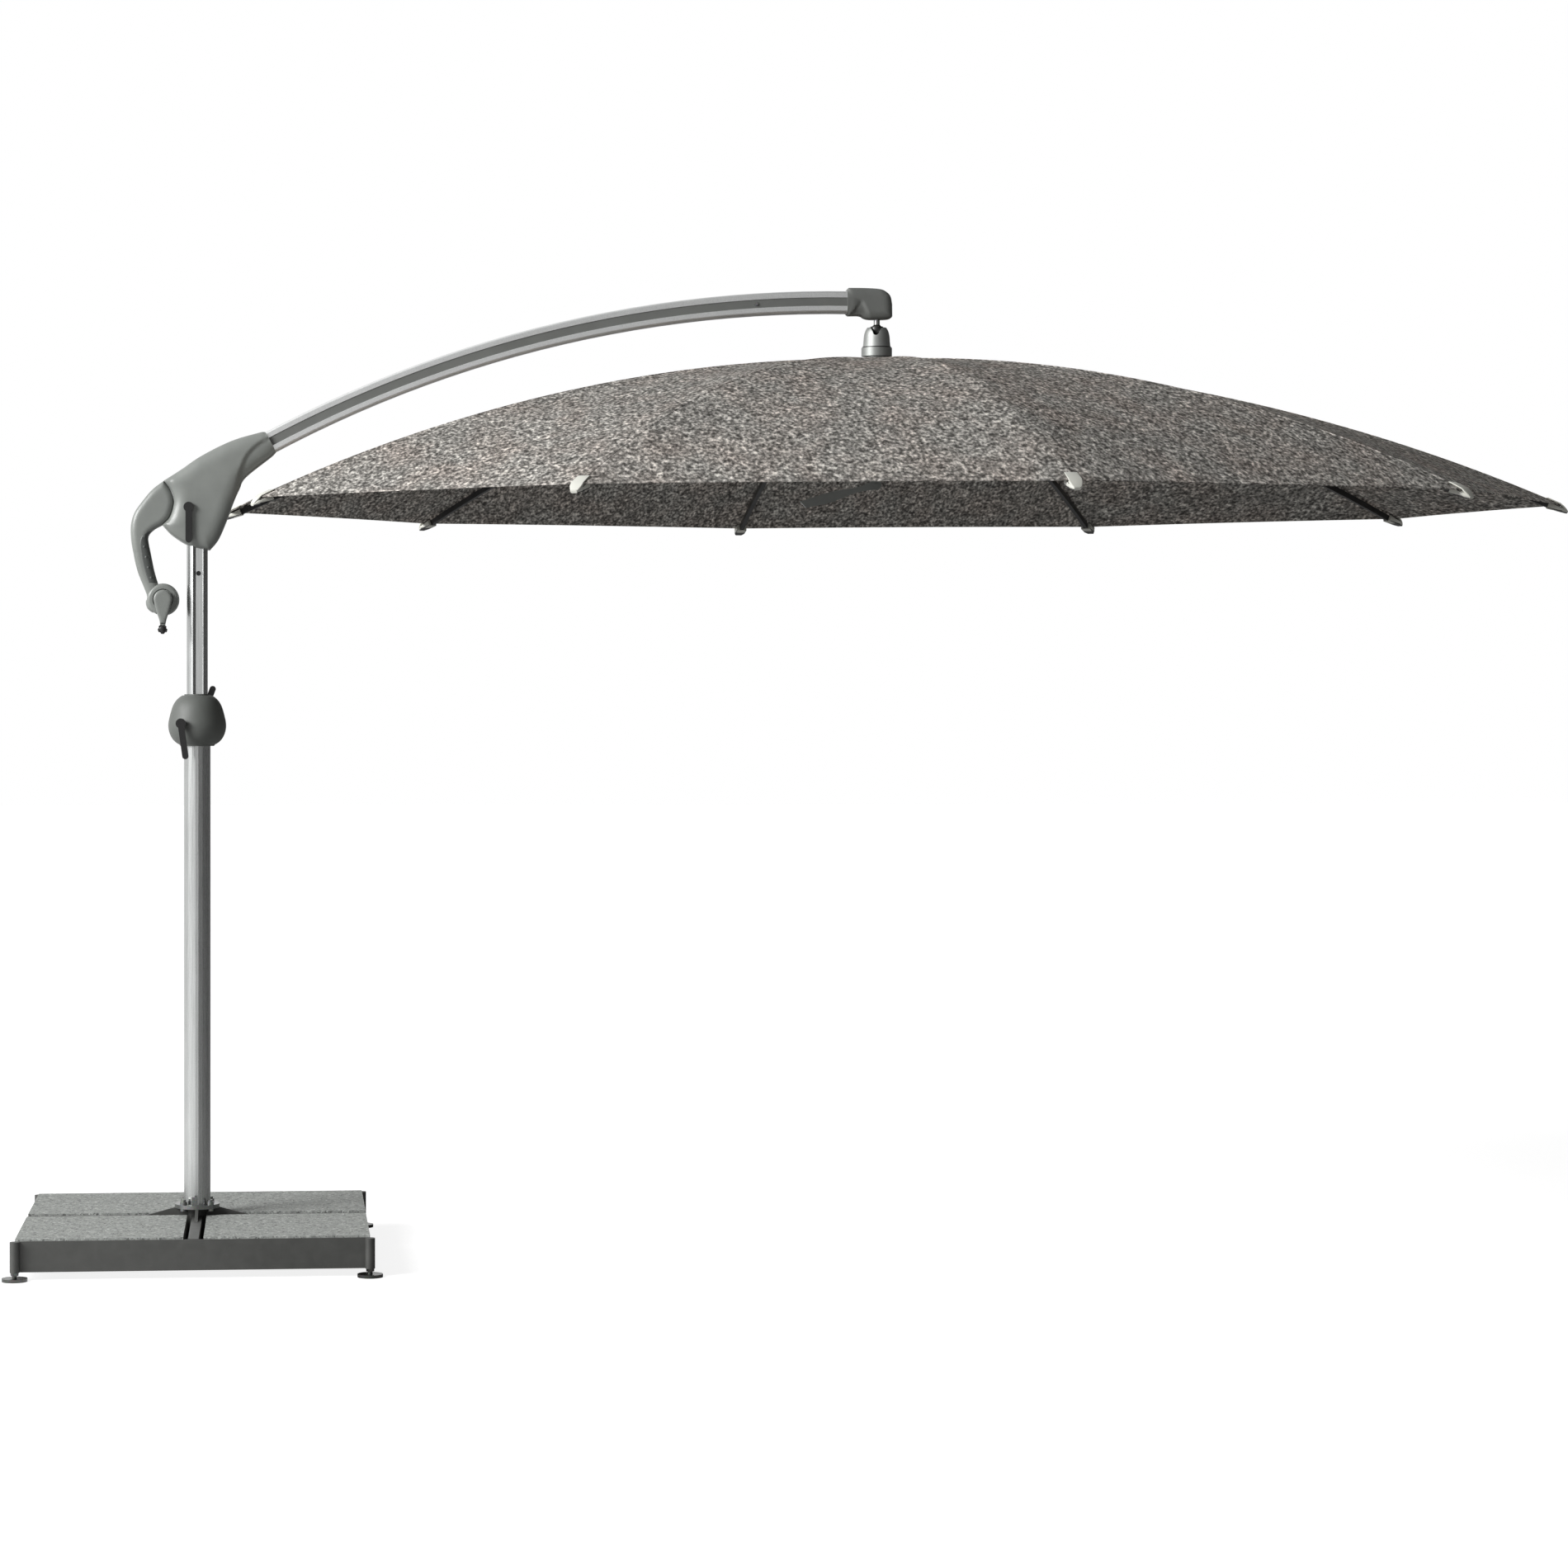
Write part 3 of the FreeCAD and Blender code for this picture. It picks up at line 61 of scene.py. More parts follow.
PATCH_INNER, PATCH_OUTER = 0.034, 0.072

# Camera: where it stands, where it looks, and how far the picture is shifted in it.
CAMERA_PLACE = (0.207, -9.142, 1.3265)
CAMERA_TURN = (math.radians(90), 0.0, math.radians(-4.85))
LENS, SENSOR = 81.09, 36.0
SHIFT_X, SHIFT_Y = 0.1316, -0.0297

# Light levels: what the world gives the object, how white the floor and surroundings look, and the
# range along X (from, to, share at the start, share at the end) over which reflections of them darken.
WORLD_LIGHT = 0.12
FLOOR_GLOW = 0.85
DARK_FLOOR = (-0.15, 0.30, 1.0, 0.0)
DARK_SIDE = (0.985, -0.17, 0.0)
DARK_SIDE_LIGHT = 0.08
DARK_SIDE_FROM, DARK_SIDE_TO = -0.12, 0.30

# Lamps: suns as (direction, strength, softness in degrees), the soft box as (place, target, watts, side).
KEY_SUN = ((0.86, 0.30, -0.42), 2.0, 28)
FILL_SUN = ((-0.30, 0.90, -0.10), 0.18, 60)
SOFT_BOX = ((-4.2, -3.2, 3.9), (1.2, 0.0, 1.6), 300, 2.2)

# Black ring of painted shade in the seam gap between the ball cup and the crown below it, in metres from the
# ball.
CUP_RING_INNER, CUP_RING_OUTER = 0.0330, 0.0376
CUP_RING_LOW, CUP_RING_TOP = -0.0473, -0.0446

# Half the floor's side in metres, far enough that no edge shows.
FLOOR_HALF = 60.0


# --- materials ------------------------------------------------------------------------------------

class Shader:
    """A new node material with short calls to add nodes and join them."""

    def __init__(self, name, color=(0.5, 0.5, 0.5), roughness=0.5, metallic=0.0, specular=0.5):
        self.material = bpy.data.materials.new(name)
        self.material.use_nodes = True
        self.tree = self.material.node_tree
        self.surface = self.tree.nodes["Principled BSDF"]
        self.surface.inputs["Base Color"].default_value = (*color, 1)
        self.surface.inputs["Roughness"].default_value = roughness
        self.surface.inputs["Metallic"].default_value = metallic
        self.surface.inputs["Specular IOR Level"].default_value = specular
        self.place = self.node("ShaderNodeTexCoord").outputs["Object"]

    def node(self, kind, **settings):
        made = self.tree.nodes.new(kind)
        for key, value in settings.items():
            setattr(made, key, value)
        return made

    def link(self, source, target):
        self.tree.links.new(source, target)

    def stretched(self, scale):
        """Object coordinates multiplied by a scale along each axis."""
        mapping = self.node("ShaderNodeMapping")
        mapping.inputs["Scale"].default_value = scale
        self.link(self.place, mapping.inputs["Vector"])
        return mapping.outputs["Vector"]

    def noise(self, scale, detail=2.0, where=None, distortion=0.0):
        made = self.node("ShaderNodeTexNoise")
        made.inputs["Scale"].default_value = scale
        made.inputs["Detail"].default_value = detail
        made.inputs["Distortion"].default_value = distortion
        self.link(where or self.place, made.inputs["Vector"])
        return made.outputs["Fac"]

    def cells(self, scale, where=None):
        made = self.node("ShaderNodeTexVoronoi")
        made.inputs["Scale"].default_value = scale
        self.link(where or self.place, made.inputs["Vector"])
        return made.outputs

    def ramp(self, factor, stops):
        """Colours at positions from 0 to 1 along a factor."""
        made = self.node("ShaderNodeValToRGB")
        band = made.color_ramp
        while len(band.elements) < len(stops):
            band.elements.new(0.5)
        for element, (position, color) in zip(band.elements, stops):
            element.position = position
            element.color = (*color, 1) if len(color) == 3 else color
        self.link(factor, made.inputs["Fac"])
        return made.outputs["Color"]

    def mix(self, factor, first, second, blend="MIX"):
        made = self.node("ShaderNodeMix", data_type="RGBA", blend_type=blend)
        for socket, value in ((made.inputs[0], factor), (made.inputs[6], first), (made.inputs[7], second)):
            if isinstance(value, (int, float)):
                socket.default_value = value
            elif isinstance(value, tuple):
                socket.default_value = (*value, 1)
            else:
                self.link(value, socket)
        return made.outputs[2]

    def math(self, operation, first, second=0.0):
        made = self.node("ShaderNodeMath", operation=operation)
        for socket, value in zip(made.inputs, (first, second)):
            if isinstance(value, (int, float)):
                socket.default_value = value
            else:
                self.link(value, socket)
        return made.outputs[0]

    def grey(self, value):
        return (value, value, value)

    def color(self, source):
        self.link(source, self.surface.inputs["Base Color"])

    def roughness(self, source, low, high):
        spread = self.node("ShaderNodeMapRange")
        spread.inputs["To Min"].default_value = low
        spread.inputs["To Max"].default_value = high
        self.link(source, spread.inputs["Value"])
        self.link(spread.outputs["Result"], self.surface.inputs["Roughness"])

    def bump(self, height, distance, strength=0.6):
        made = self.node("ShaderNodeBump")
        made.inputs["Distance"].default_value = distance
        made.inputs["Strength"].default_value = strength
        self.link(height, made.inputs["Height"])
        if self.surface.inputs["Normal"].is_linked:
            self.link(self.surface.inputs["Normal"].links[0].from_socket, made.inputs["Normal"])
        self.link(made.outputs["Normal"], self.surface.inputs["Normal"])


def heather_cloth():
    """Woven polyester of light and dark melange yarns: grains and soft blotches over a plain weave."""
    s = Shader("heather_cloth", roughness=0.95, specular=0.04)
    lay = s.stretched((1.0, 0.36, 1.0))
    grain = s.noise(132, 2.0, lay)
    slub = s.noise(68, 2.0, lay)
    tone = s.ramp(grain, [(0.30, s.grey(0.075)), (0.45, s.grey(0.19)), (0.54, s.grey(0.33)),
                          (0.70, s.grey(0.66))])
    patch = s.ramp(slub, [(0.34, s.grey(0.60)), (0.5, s.grey(1.0)), (0.66, s.grey(1.45))])
    tone = s.mix(1.0, tone, patch, "MULTIPLY")
    tint = s.ramp(s.noise(9, 2.0, lay), [(0.4, (1.04, 1.0, 0.93)), (0.7, (1.10, 0.99, 0.90))])
    s.color(s.mix(1.0, tone, tint, "MULTIPLY"))
    weft = s.node("ShaderNodeTexWave", bands_direction="X")
    warp = s.node("ShaderNodeTexWave", bands_direction="Y")
    for wave in (weft, warp):
        wave.inputs["Scale"].default_value = 260
        s.link(s.place, wave.inputs["Vector"])
    s.bump(s.math("ADD", weft.outputs["Fac"], warp.outputs["Fac"]), 0.0003, 0.5)
    s.bump(s.noise(14, 2.0), 0.004, 0.25)
    return s.material


def anodised(name="anodised_aluminium", color=(0.47, 0.48, 0.475), grain=(60, 60, 1.2), rough=(0.2, 0.34)):
    """Extruded, anodised aluminium with faint draw lines along its length."""
    s = Shader(name, metallic=1.0, roughness=0.34)
    lines = s.noise(9.0, 4.0, s.stretched(grain))
    patch = s.noise(7.0, 2.0)
    low, high = (tuple(c * k for c in color) for k in (0.86, 1.10))
    s.color(s.mix(0.25, s.ramp(lines, [(0.3, low), (0.7, high)]), s.ramp(patch, [(0.3, low), (0.7, high)])))
    s.roughness(lines, *rough)
    s.bump(lines, 0.0002, 0.25)
    return s.material


def cast_metal(name="cast_aluminium", color=(0.30, 0.31, 0.30), rough=(0.44, 0.6)):
    """Fine satin casting with a slight grain."""
    s = Shader(name, metallic=0.9, roughness=0.42)
    grain = s.noise(900, 2.0)
    patch = s.noise(12, 3.0)
    low, high = (tuple(c * k for c in color) for k in (0.88, 1.08))
    s.color(s.ramp(patch, [(0.3, low), (0.7, high)]))
    s.roughness(patch, *rough)
    s.bump(grain, 0.0002, 0.35)
    return s.material


def zinc_plate(name="zinc_plate", color=(0.25, 0.255, 0.25)):
    """Bright zinc plating with a faint bluish spangle."""
    s = Shader(name, metallic=1.0, roughness=0.3)
    spots = s.cells(420)["Color"]
    s.color(s.mix(0.18, color, spots, "SOFT_LIGHT"))
    s.roughness(s.noise(40, 3.0), 0.22, 0.4)
    return s.material


def moulded(name, color, rough=(0.38, 0.52), grain=0.00012):
    """Injection-moulded plastic: fine spark-eroded grain and slightly uneven gloss."""
    s = Shader(name, roughness=0.45)
    low, high = (tuple(c * k for c in color) for k in (0.93, 1.06))
    s.color(s.ramp(s.noise(18, 3.0), [(0.3, low), (0.7, high)]))
    s.roughness(s.noise(55, 2.0), *rough)
    s.bump(s.noise(1500, 2.0), grain, 0.5)
    return s.material


def powder_coat(name, color):
    """Powder-coated steel: faint orange peel and small scuffs."""
    s = Shader(name, roughness=0.5, specular=0.5)
    scuff = s.noise(30, 6.0, distortion=0.4)
    low, high = (tuple(c * k for c in color) for k in (0.9, 1.15))
    s.color(s.ramp(scuff, [(0.35, low), (0.75, high)]))
    s.roughness(scuff, 0.42, 0.6)
    s.bump(s.noise(420, 2.0), 0.0002, 0.4)
    return s.material


def granite():
    """Light grey granite: pale ground with dark and white grains, flamed and slightly rough."""
    s = Shader("granite", roughness=0.7, specular=0.4)
    base = s.ramp(s.noise(60, 4.0), [(0.3, (0.30, 0.315, 0.30)), (0.7, (0.42, 0.435, 0.415))])
    grain = s.ramp(s.cells(170)["Color"], [(0.12, s.grey(0.35)), (0.3, s.grey(0.9)),
                                           (0.7, s.grey(1.05)), (0.9, s.grey(1.75))])
    mica = s.ramp(s.noise(260, 3.0), [(0.33, s.grey(0.30)), (0.42, s.grey(1.0))])
    tone = s.mix(0.85, base, grain, "MULTIPLY")
    s.color(s.mix(1.0, tone, mica, "MULTIPLY"))
    s.roughness(s.noise(200, 2.0), 0.55, 0.8)
    s.bump(s.noise(240, 4.0), 0.0012, 0.5)
    return s.material


def rib_finish():
    """Dark anodised bars with a soft sheen along them."""
    s = Shader("rib_finish", roughness=0.4, metallic=0.6)
    s.color(s.ramp(s.noise(26, 3.0), [(0.3, s.grey(0.042)), (0.7, s.grey(0.062))]))
    s.roughness(s.noise(70, 2.0), 0.3, 0.46)
    s.bump(s.noise(900, 2.0), 0.0001, 0.4)
    return s.material


# --- meshes ---------------------------------------------------------------------------------------

def new_piece(name, verts, faces, material, body, smooth=True):
    """A mesh piece in the row frame that rides on a body."""
    mesh = bpy.data.meshes.new(name)
    mesh.from_pydata([tuple(v) for v in verts], [], faces)
    mesh.validate()
    work = bmesh.new()
    work.from_mesh(mesh)
    bmesh.ops.recalc_face_normals(work, faces=work.faces)
    work.to_mesh(mesh)
    work.free()
    mesh.materials.append(material)
    piece = bpy.data.objects.new(name, mesh)
    bpy.context.scene.collection.objects.link(piece)
    if smooth:
        mesh.shade_smooth()
        mesh.set_sharp_from_angle(angle=math.radians(35))
    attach(piece, body)
    return piece


def canopy_matrix(turn=0.0):
    """From a rib's own frame, about the ball with the rib along +X, to the row frame."""
    axis = Vector((math.cos(LEAN_HEADING), math.sin(LEAN_HEADING), 0))
    return (Matrix.Translation(BALL) @ Matrix.Rotation(LEAN, 4, axis)
            @ Matrix.Rotation(HEADING + turn, 4, "Z"))


def rib_at(s, up=0.0, turn=0.0):
    """Point at a distance s along a rib's middle line, raised square to it, with the rib turned about Z."""
    slope = RIB_START_SLOPE + s / RIB_BEND
    reach = RIB_HINGE_REACH + RIB_BEND * (math.sin(slope) - math.sin(RIB_START_SLOPE)) + up * math.sin(slope)
    height = RIB_HINGE_DOWN - RIB_BEND * (math.cos(RIB_START_SLOPE) - math.cos(slope)) + up * math.cos(slope)
    return Vector((reach * math.cos(turn), reach * math.sin(turn), height))


PANEL_TURN = 2 * math.pi / RIB_COUNT


def cloth_at(s, share, up):
    """Point of the cloth beside a rib: share runs from -0.5 to 0.5 of a panel's width either side of it."""
    side = math.copysign(1, share)
    bow = 4 * abs(share) * (1 - abs(share))
    along = s / CLOTH_LAST
    s_here = s - RIM_SCALLOP * bow * along ** 6
    here, there = rib_at(s_here, up), rib_at(s_here, up, side * PANEL_TURN)
    point = here.lerp(there, abs(share))
    point.z -= PANEL_SAG * bow * math.sin(math.pi * min(along, 0.999)) ** 0.8
    return point


def grid_shell(rows, columns, top, bottom):
    """Closed thin shell from two grids of points: its vertices and faces."""
    verts = [point for grid in (top, bottom) for line in grid for point in line]
    count = rows * columns

    def index(level, row, column):
        return level * count + row * columns + column

    faces = []
    for row in range(rows - 1):
        for column in range(columns - 1):
            for level in (0, 1):
                quad = [index(level, row, column), index(level, row, column + 1),
                        index(level, row + 1, column + 1), index(level, row + 1, column)]
                faces.append(quad if level == 0 else quad[::-1])
    border = ([(0, c) for c in range(columns)] + [(r, columns - 1) for r in range(1, rows)]
              + [(rows - 1, c) for c in range(columns - 2, -1, -1)]
              + [(r, 0) for r in range(rows - 2, 0, -1)])
    for (r1, c1), (r2, c2) in zip(border, border[1:] + border[:1]):
        faces.append([index(0, r1, c1), index(1, r1, c1), index(1, r2, c2), index(0, r2, c2)])
    return verts, faces


def lay_attribute(piece, along, across):
    """Store on each vertex its distance along and across the cut cloth."""
    layer = piece.data.attributes.new("lay", "FLOAT_VECTOR", "POINT")
    layer.data.foreach_set("vector", [c for pair in zip(along, across) for c in (*pair, 0.0)])


def cloth_strip(name, body, material, turn, stations, shares, low, high):
    """Thin shell over the cloth's surface between two heights above the rib's middle line."""
    place = canopy_matrix(turn)
    grids = [[[place @ cloth_at(s, share, up) for share in shares(s)] for s in stations]
             for up in (high, low)]
    verts, faces = grid_shell(len(stations), len(shares(stations[0])), *grids)
    piece = new_piece(name, verts, faces, material, body)
    along = [s for _ in range(2) for s in stations for _ in shares(s)]
    across = [share * width_at(s) for _ in range(2) for s in stations for share in shares(s)]
    lay_attribute(piece, along, across)
    return piece


def width_at(s):
    """Width of a panel, rib to rib, at a distance along the ribs."""
    return 2 * rib_at(s).x * math.sin(PANEL_TURN / 2)


def spread(first, last, steps):
    return [first + (last - first) * k / steps for k in range(steps + 1)]


def swept_box(name, body, material, turn, stations, sections):
    """Closed bar along the rib from rounded sections: each is a list of (across, up) pairs at its station."""
    place = canopy_matrix(turn)
    verts, faces = [], []
    count = len(sections[0])
    for s, section in zip(stations, sections):
        for across, up in section:
            point = rib_at(s, up)
            verts.append(place @ Vector((point.x, across, point.z)))
    for row in range(len(stations) - 1):
        for k in range(count):
            nxt = (k + 1) % count
            faces.append([row * count + k, row * count + nxt, (row + 1) * count + nxt, (row + 1) * count + k])
    faces.append(list(range(count)))
    faces.append([(len(stations) - 1) * count + k for k in range(count)][::-1])
    return new_piece(name, verts, faces, material, body)


def rounded_section(half_wide, half_high, corner, up=0.0, steps=5):
    """Rounded rectangle of (across, up) pairs."""
    corner = min(corner, half_wide, half_high)
    points = []
    for quarter, (sx, sz) in enumerate(((1, 1), (-1, 1), (-1, -1), (1, -1))):
        for k in range(steps):
            angle = math.pi / 2 * (quarter + k / (steps - 1))
            points.append((sx * (half_wide - corner) + corner * math.cos(angle),
                           up + sz * (half_high - corner) + corner * math.sin(angle)))
    return points


# --- canopy ---------------------------------------------------------------------------------------

def tip_leaf(name, body, material, turn, stations):
    """Half of a rib's tip cap from stations of (along, half width, bottom, top) in millimetres."""
    sections = [rounded_section(half * MM, (top - low) / 2 * MM, min(4.5, (top - low) / 2) * MM,
                                (top + low) / 2 * MM)
                for _, half, low, top in stations]
    leaf = swept_box(name, body, material, turn, [along * MM for along, *_ in stations], sections)
    return leaf


MM = 0.001
TIP_LOWER = [(1708.5, 15.0, -9.0, 9.3), (1712, 15.5, -9.2, 9.2), (1738, 15.5, -4.4, 8.2),
             (1748, 15.0, -2.6, 7.6), (1756, 11.0, -1.8, 6.6), (1760.6, 8.2, -1.2, 5.2)]
TIP_UPPER = [(1698, 12.5, 14.0, 15.4), (1701, 14.6, 14.0, 16.6), (1735, 15.5, 13.0, 16.0),
             (1746, 15.0, 8.0, 12.4), (1755, 11.5, 5.0, 8.4), (1761, 7.6, 0.6, 4.6)]


def build_canopy(cloth, cap):
    """Ten gores of cloth, one on each rib and meeting edge to edge, with seam, hem and tip pocket."""
    under = RIB_HIGH / 2 + CLOTH_LIFT
    rows = spread(CLOTH_FIRST, CLOTH_LAST, 56)
    panel_area = sum(width_at((a + b) / 2) * (b - a) for a, b in zip(rows, rows[1:]))
    for k in range(RIB_COUNT):
        name, body, turn = f"{k + 1:02d}", f"rib_{k + 1:02d}", k * PANEL_TURN
        columns = spread(-0.5, 0.5, 24)
        gore = cloth_strip("canopy_gore_" + name, body, cloth, turn, rows, lambda s: columns,
                           under, under + CLOTH_THICK)
        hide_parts("canopy")

        seam = cloth_strip("canopy_seam_" + name, body, cloth, turn, rows,
                           lambda s: spread(-SEAM_HALF / width_at(s), SEAM_HALF / width_at(s), 4),
                           RIB_HIGH / 2 + 0.0004, under + CLOTH_THICK + SEAM_PROUD)
        hem_rows = spread(CLOTH_LAST - HEM_WIDE, CLOTH_LAST + 0.0015, 3)
        hem = cloth_strip("canopy_hem_" + name, body, cloth, turn, hem_rows, lambda s: columns,
                          under - HEM_PROUD, under + CLOTH_THICK + HEM_PROUD)
        for piece in (gore, hem):
            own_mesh(piece)
        width_at(CLOTH_LAST)

        tip_leaf("rib_tip_low_" + name, body, cap, turn, TIP_LOWER)
        tip_leaf("rib_tip_top_" + name, body, cap, turn, TIP_UPPER)


def build_crown_patch(cloth):
    """Round cloth patch that covers the gores' inner ends at the hub."""
    place = canopy_matrix()
    around = 60
    up = RIB_HIGH / 2 + CLOTH_LIFT + CLOTH_THICK + SEAM_PROUD

    def ring(reach, rise):
        s = reach - RIB_HINGE_REACH
        return [place @ Vector((reach * math.cos(a), reach * math.sin(a), rib_at(s).z + up + rise))
                for a in spread(0, 2 * math.pi, around)[:-1]]

    rings = [ring(PATCH_INNER, 0.0), ring(PATCH_INNER, 0.0012)]
    rings += [ring(reach, 0.0012) for reach in spread(PATCH_INNER + 0.001, PATCH_OUTER - 0.001, 6)]
    rings += [ring(PATCH_OUTER, 0.0007), ring(PATCH_OUTER, 0.0)]
    verts = [point for line in rings for point in line]
    faces = []
    for row in range(len(rings)):
        following = (row + 1) % len(rings)
        for k in range(around):
            nxt = (k + 1) % around
            faces.append([row * around + k, row * around + nxt,
                          following * around + nxt, following * around + k])
    patch = new_piece("canopy_crown_patch", verts, faces, cloth, "hub")
    lay_attribute(patch, [v.co.x for v in patch.data.vertices], [v.co.y for v in patch.data.vertices])


# --- head, crank arm and mast ---------------------------------------------------------------------

def smooth_line(points, steps=14):
    """Points along a smooth line through the given ones."""
    ends = [2 * points[0] - points[1], *points, 2 * points[-1] - points[-2]]
    line = []
    for a, b, c, d in zip(ends, ends[1:], ends[2:], ends[3:]):
        for k in range(steps):
            u = k / steps
            line.append(0.5 * (2 * b + (c - a) * u + (2 * a - 5 * b + 4 * c - d) * u * u
                               + (3 * b - a - 3 * c + d) * u ** 3))
    return line + [points[-1].copy()]


def evenly(line, step, closed=False):
    """The line again with its points a step apart, its corners kept."""
    count = len(line)
    out = [line[0]]
    for k in range(1, count + (1 if closed else 0)):
        here, before = line[k % count], out[-1]
        ahead = line[(k + 1) % count] - here
        turn = (here - line[(k - 1) % count]).angle(ahead, 0) if ahead.length > 0 else 0
        if (here - before).length >= step or turn > 0.5:
            pieces = max(1, round((here - before).length / step))
            out += [before.lerp(here, (j + 1) / pieces) for j in range(pieces)]
    if closed and (out[-1] - out[0]).length < step / 3:
        out.pop()
    return out


def edge_distance(loop, point, closed=True):
    """Distance of a point from a line."""
    best = 1e9
    px, pz = point
    for (ax, az), (bx, bz) in zip(loop, loop[1:] + loop[:1] if closed else loop[1:]):
        dx, dz = bx - ax, bz - az
        share = ((px - ax) * dx + (pz - az) * dz) / (dx * dx + dz * dz)
        share = min(1.0, max(0.0, share))
        best = min(best, (px - ax - dx * share) ** 2 + (pz - az - dz * share) ** 2)
    return math.sqrt(best)


def is_inside(loop, point):
    """Whether a point lies inside a closed line, by counting the edges to its right."""
    px, pz = point
    odd = False
    for (ax, az), (bx, bz) in zip(loop, loop[1:] + loop[:1]):
        if (az > pz) != (bz > pz) and px < ax + (pz - az) / (bz - az) * (bx - ax):
            odd = not odd
    return odd


def mesh_inside(loop, grid, rings):
    """Triangles that fill a closed line, with finer rows of points beside its edge."""
    count = len(loop)
    clockwise = sum(a[0] * b[1] - b[0] * a[1] for a, b in zip(loop, loop[1:] + loop[:1])) < 0
    points = [Vector(p) for p in loop]
    for number, deep in enumerate(rings):
        for k in range(0, count, 1 + number // 3):
            along = (Vector(loop[(k + 1) % count]) - Vector(loop[k - 1])).normalized()
            inward = Vector((along[1], -along[0])) if clockwise else Vector((-along[1], along[0]))
            point = Vector(loop[k]) + inward * deep
            if is_inside(loop, point) and edge_distance(loop, point) > 0.96 * deep:
                points.append(point)
    low_x, high_x = min(p[0] for p in loop), max(p[0] for p in loop)
    low_z, high_z = min(p[1] for p in loop), max(p[1] for p in loop)
    margin = rings[-1] + 0.6 * grid
    row, z = 0, low_z
    while z < high_z:
        x = low_x + (row % 2) * grid / 2
        while x < high_x:
            if is_inside(loop, (x, z)) and edge_distance(loop, (x, z)) > margin:
                points.append(Vector((x, z)))
            x += grid
        z += grid * 0.866
        row += 1
    edges = [(k, (k + 1) % count) for k in range(count)]
    placed, _, faces, *_ = delaunay_2d_cdt(points, edges, [], 1, 1e-7)
    return [tuple(p) for p in placed], faces


def domed_shell(name, body, material, loop, height, back, rings, grid):
    """Closed moulding that fills an outline: height gives each point's y in front, back its y behind."""
    flat, triangles = mesh_inside(loop, grid, rings)
    border = {}
    for a, b, c in triangles:
        for edge in ((a, b), (b, c), (c, a)):
            border[edge] = edge[::-1] not in border and True
            if edge[::-1] in border:
                border[edge] = border[edge[::-1]] = False
    count = len(flat)
    verts = [(x, height((x, z)), z) for x, z in flat] + [(x, back((x, z)), z) for x, z in flat]
    faces = [tuple(f) for f in triangles] + [tuple(count + v for v in reversed(f)) for f in triangles]
    faces += [(b, a, count + a, count + b) for (a, b), outer in border.items() if outer]
    return new_piece(name, verts, faces, material, body)


def crown_of(deep, low, high, reach):
    """Height of a moulding's rounded crown at a distance from its edge."""
    share = 1 - min(1.0, max(0.0, deep / reach))
    return low + (high - low) * (1 - share ** 2.3) ** (1 / 2.3)


def arm_point(x, up=0.0):
    """Point above the arm's middle line where that line passes x."""
    angle = math.asin((ARM_CROWN_X - x) / ARM_RADIUS)
    reach = ARM_RADIUS + up
    return Vector((ARM_CROWN_X - reach * math.sin(angle), ARM_CENTRE_Z + reach * math.cos(angle)))


def by_mast(x, up):
    """Point at millimetres from the top of the upper mast."""
    return Vector((x * MM, MAST_TOP + up * MM))


def by_arm(x, up):
    """Point at a distance along X and a height from the arm's middle line, in millimetres."""
    return arm_point(x * MM) + Vector((0, up * MM))


SEAM = [(-89, -28), (-71, -9), (-61, 20), (-60, 39), (-67, 61), (-85, 86)]
MAST_TOP = 1.900
ARM_RADIUS, ARM_CROWN_X, ARM_CENTRE_Z = 3.130, 1.675, -0.66700
RIM_X, RIM_HALF = 0.188, 0.032


def head_loop():
    """Outline of the head's side, from the rim over the back, the seam, the mouth and the throat."""
    back = [arm_point(RIM_X - 0.006, RIM_HALF + 0.001)]
    back += [by_arm(*p) for p in ((104, 55), (55, 63), (2, 66.5), (-39, 64))] + [by_mast(*SEAM[-1])]
    mouth = [by_mast(*p) for p in ((-89, -28), (-69, -50), (-43, -69), (-20, -81), (2, -88), (32, -92))]
    throat = [by_mast(*p) for p in ((32, -92), (55, -63), (78, -10), (93, 32))]
    throat += [by_arm(108, -76.5), by_arm(125, -55), arm_point(RIM_X - 0.010, -RIM_HALF - 0.001)]
    rim = [arm_point(RIM_X, 0.003 - RIM_HALF), arm_point(RIM_X, RIM_HALF - 0.003)]
    seam = [by_mast(*p) for p in reversed(SEAM)]
    whole = [rim[-1]] + smooth_line(back)[:-1] + smooth_line(seam)[:-1] + smooth_line(mouth)[:-1]
    edge = [tuple(p) for p in evenly(whole + smooth_line(throat) + rim[:1], 0.0032)]
    return edge, edge + [tuple(p) for p in evenly([rim[0], rim[1]], 0.0032)[1:-1]]


SWOOSH = [(192, 205), (165, 190), (140, 170), (122, 147), (110, 118), (102, 88), (95, 58), (88, 25)]


def relief(line, point, step):
    """Depth to which the flank on the left hand of a curved step lies back."""
    x, z = point
    nearest = min(range(len(line) - 1), key=lambda k: (line[k][0] - x) ** 2 + (line[k][1] - z) ** 2)
    a, b = line[nearest], line[nearest + 1]
    dx, dz = b[0] - a[0], b[1] - a[1]
    beside = ((x - a[0]) * dz - (z - a[1]) * dx) / math.hypot(dx, dz) * -1
    share = min(1.0, max(0.0, (beside + 0.002) / 0.010))
    fade = min(1.0, (len(line) - 1 - nearest) / (0.35 * len(line)))
    return step * share * share * (3 - 2 * share) * fade


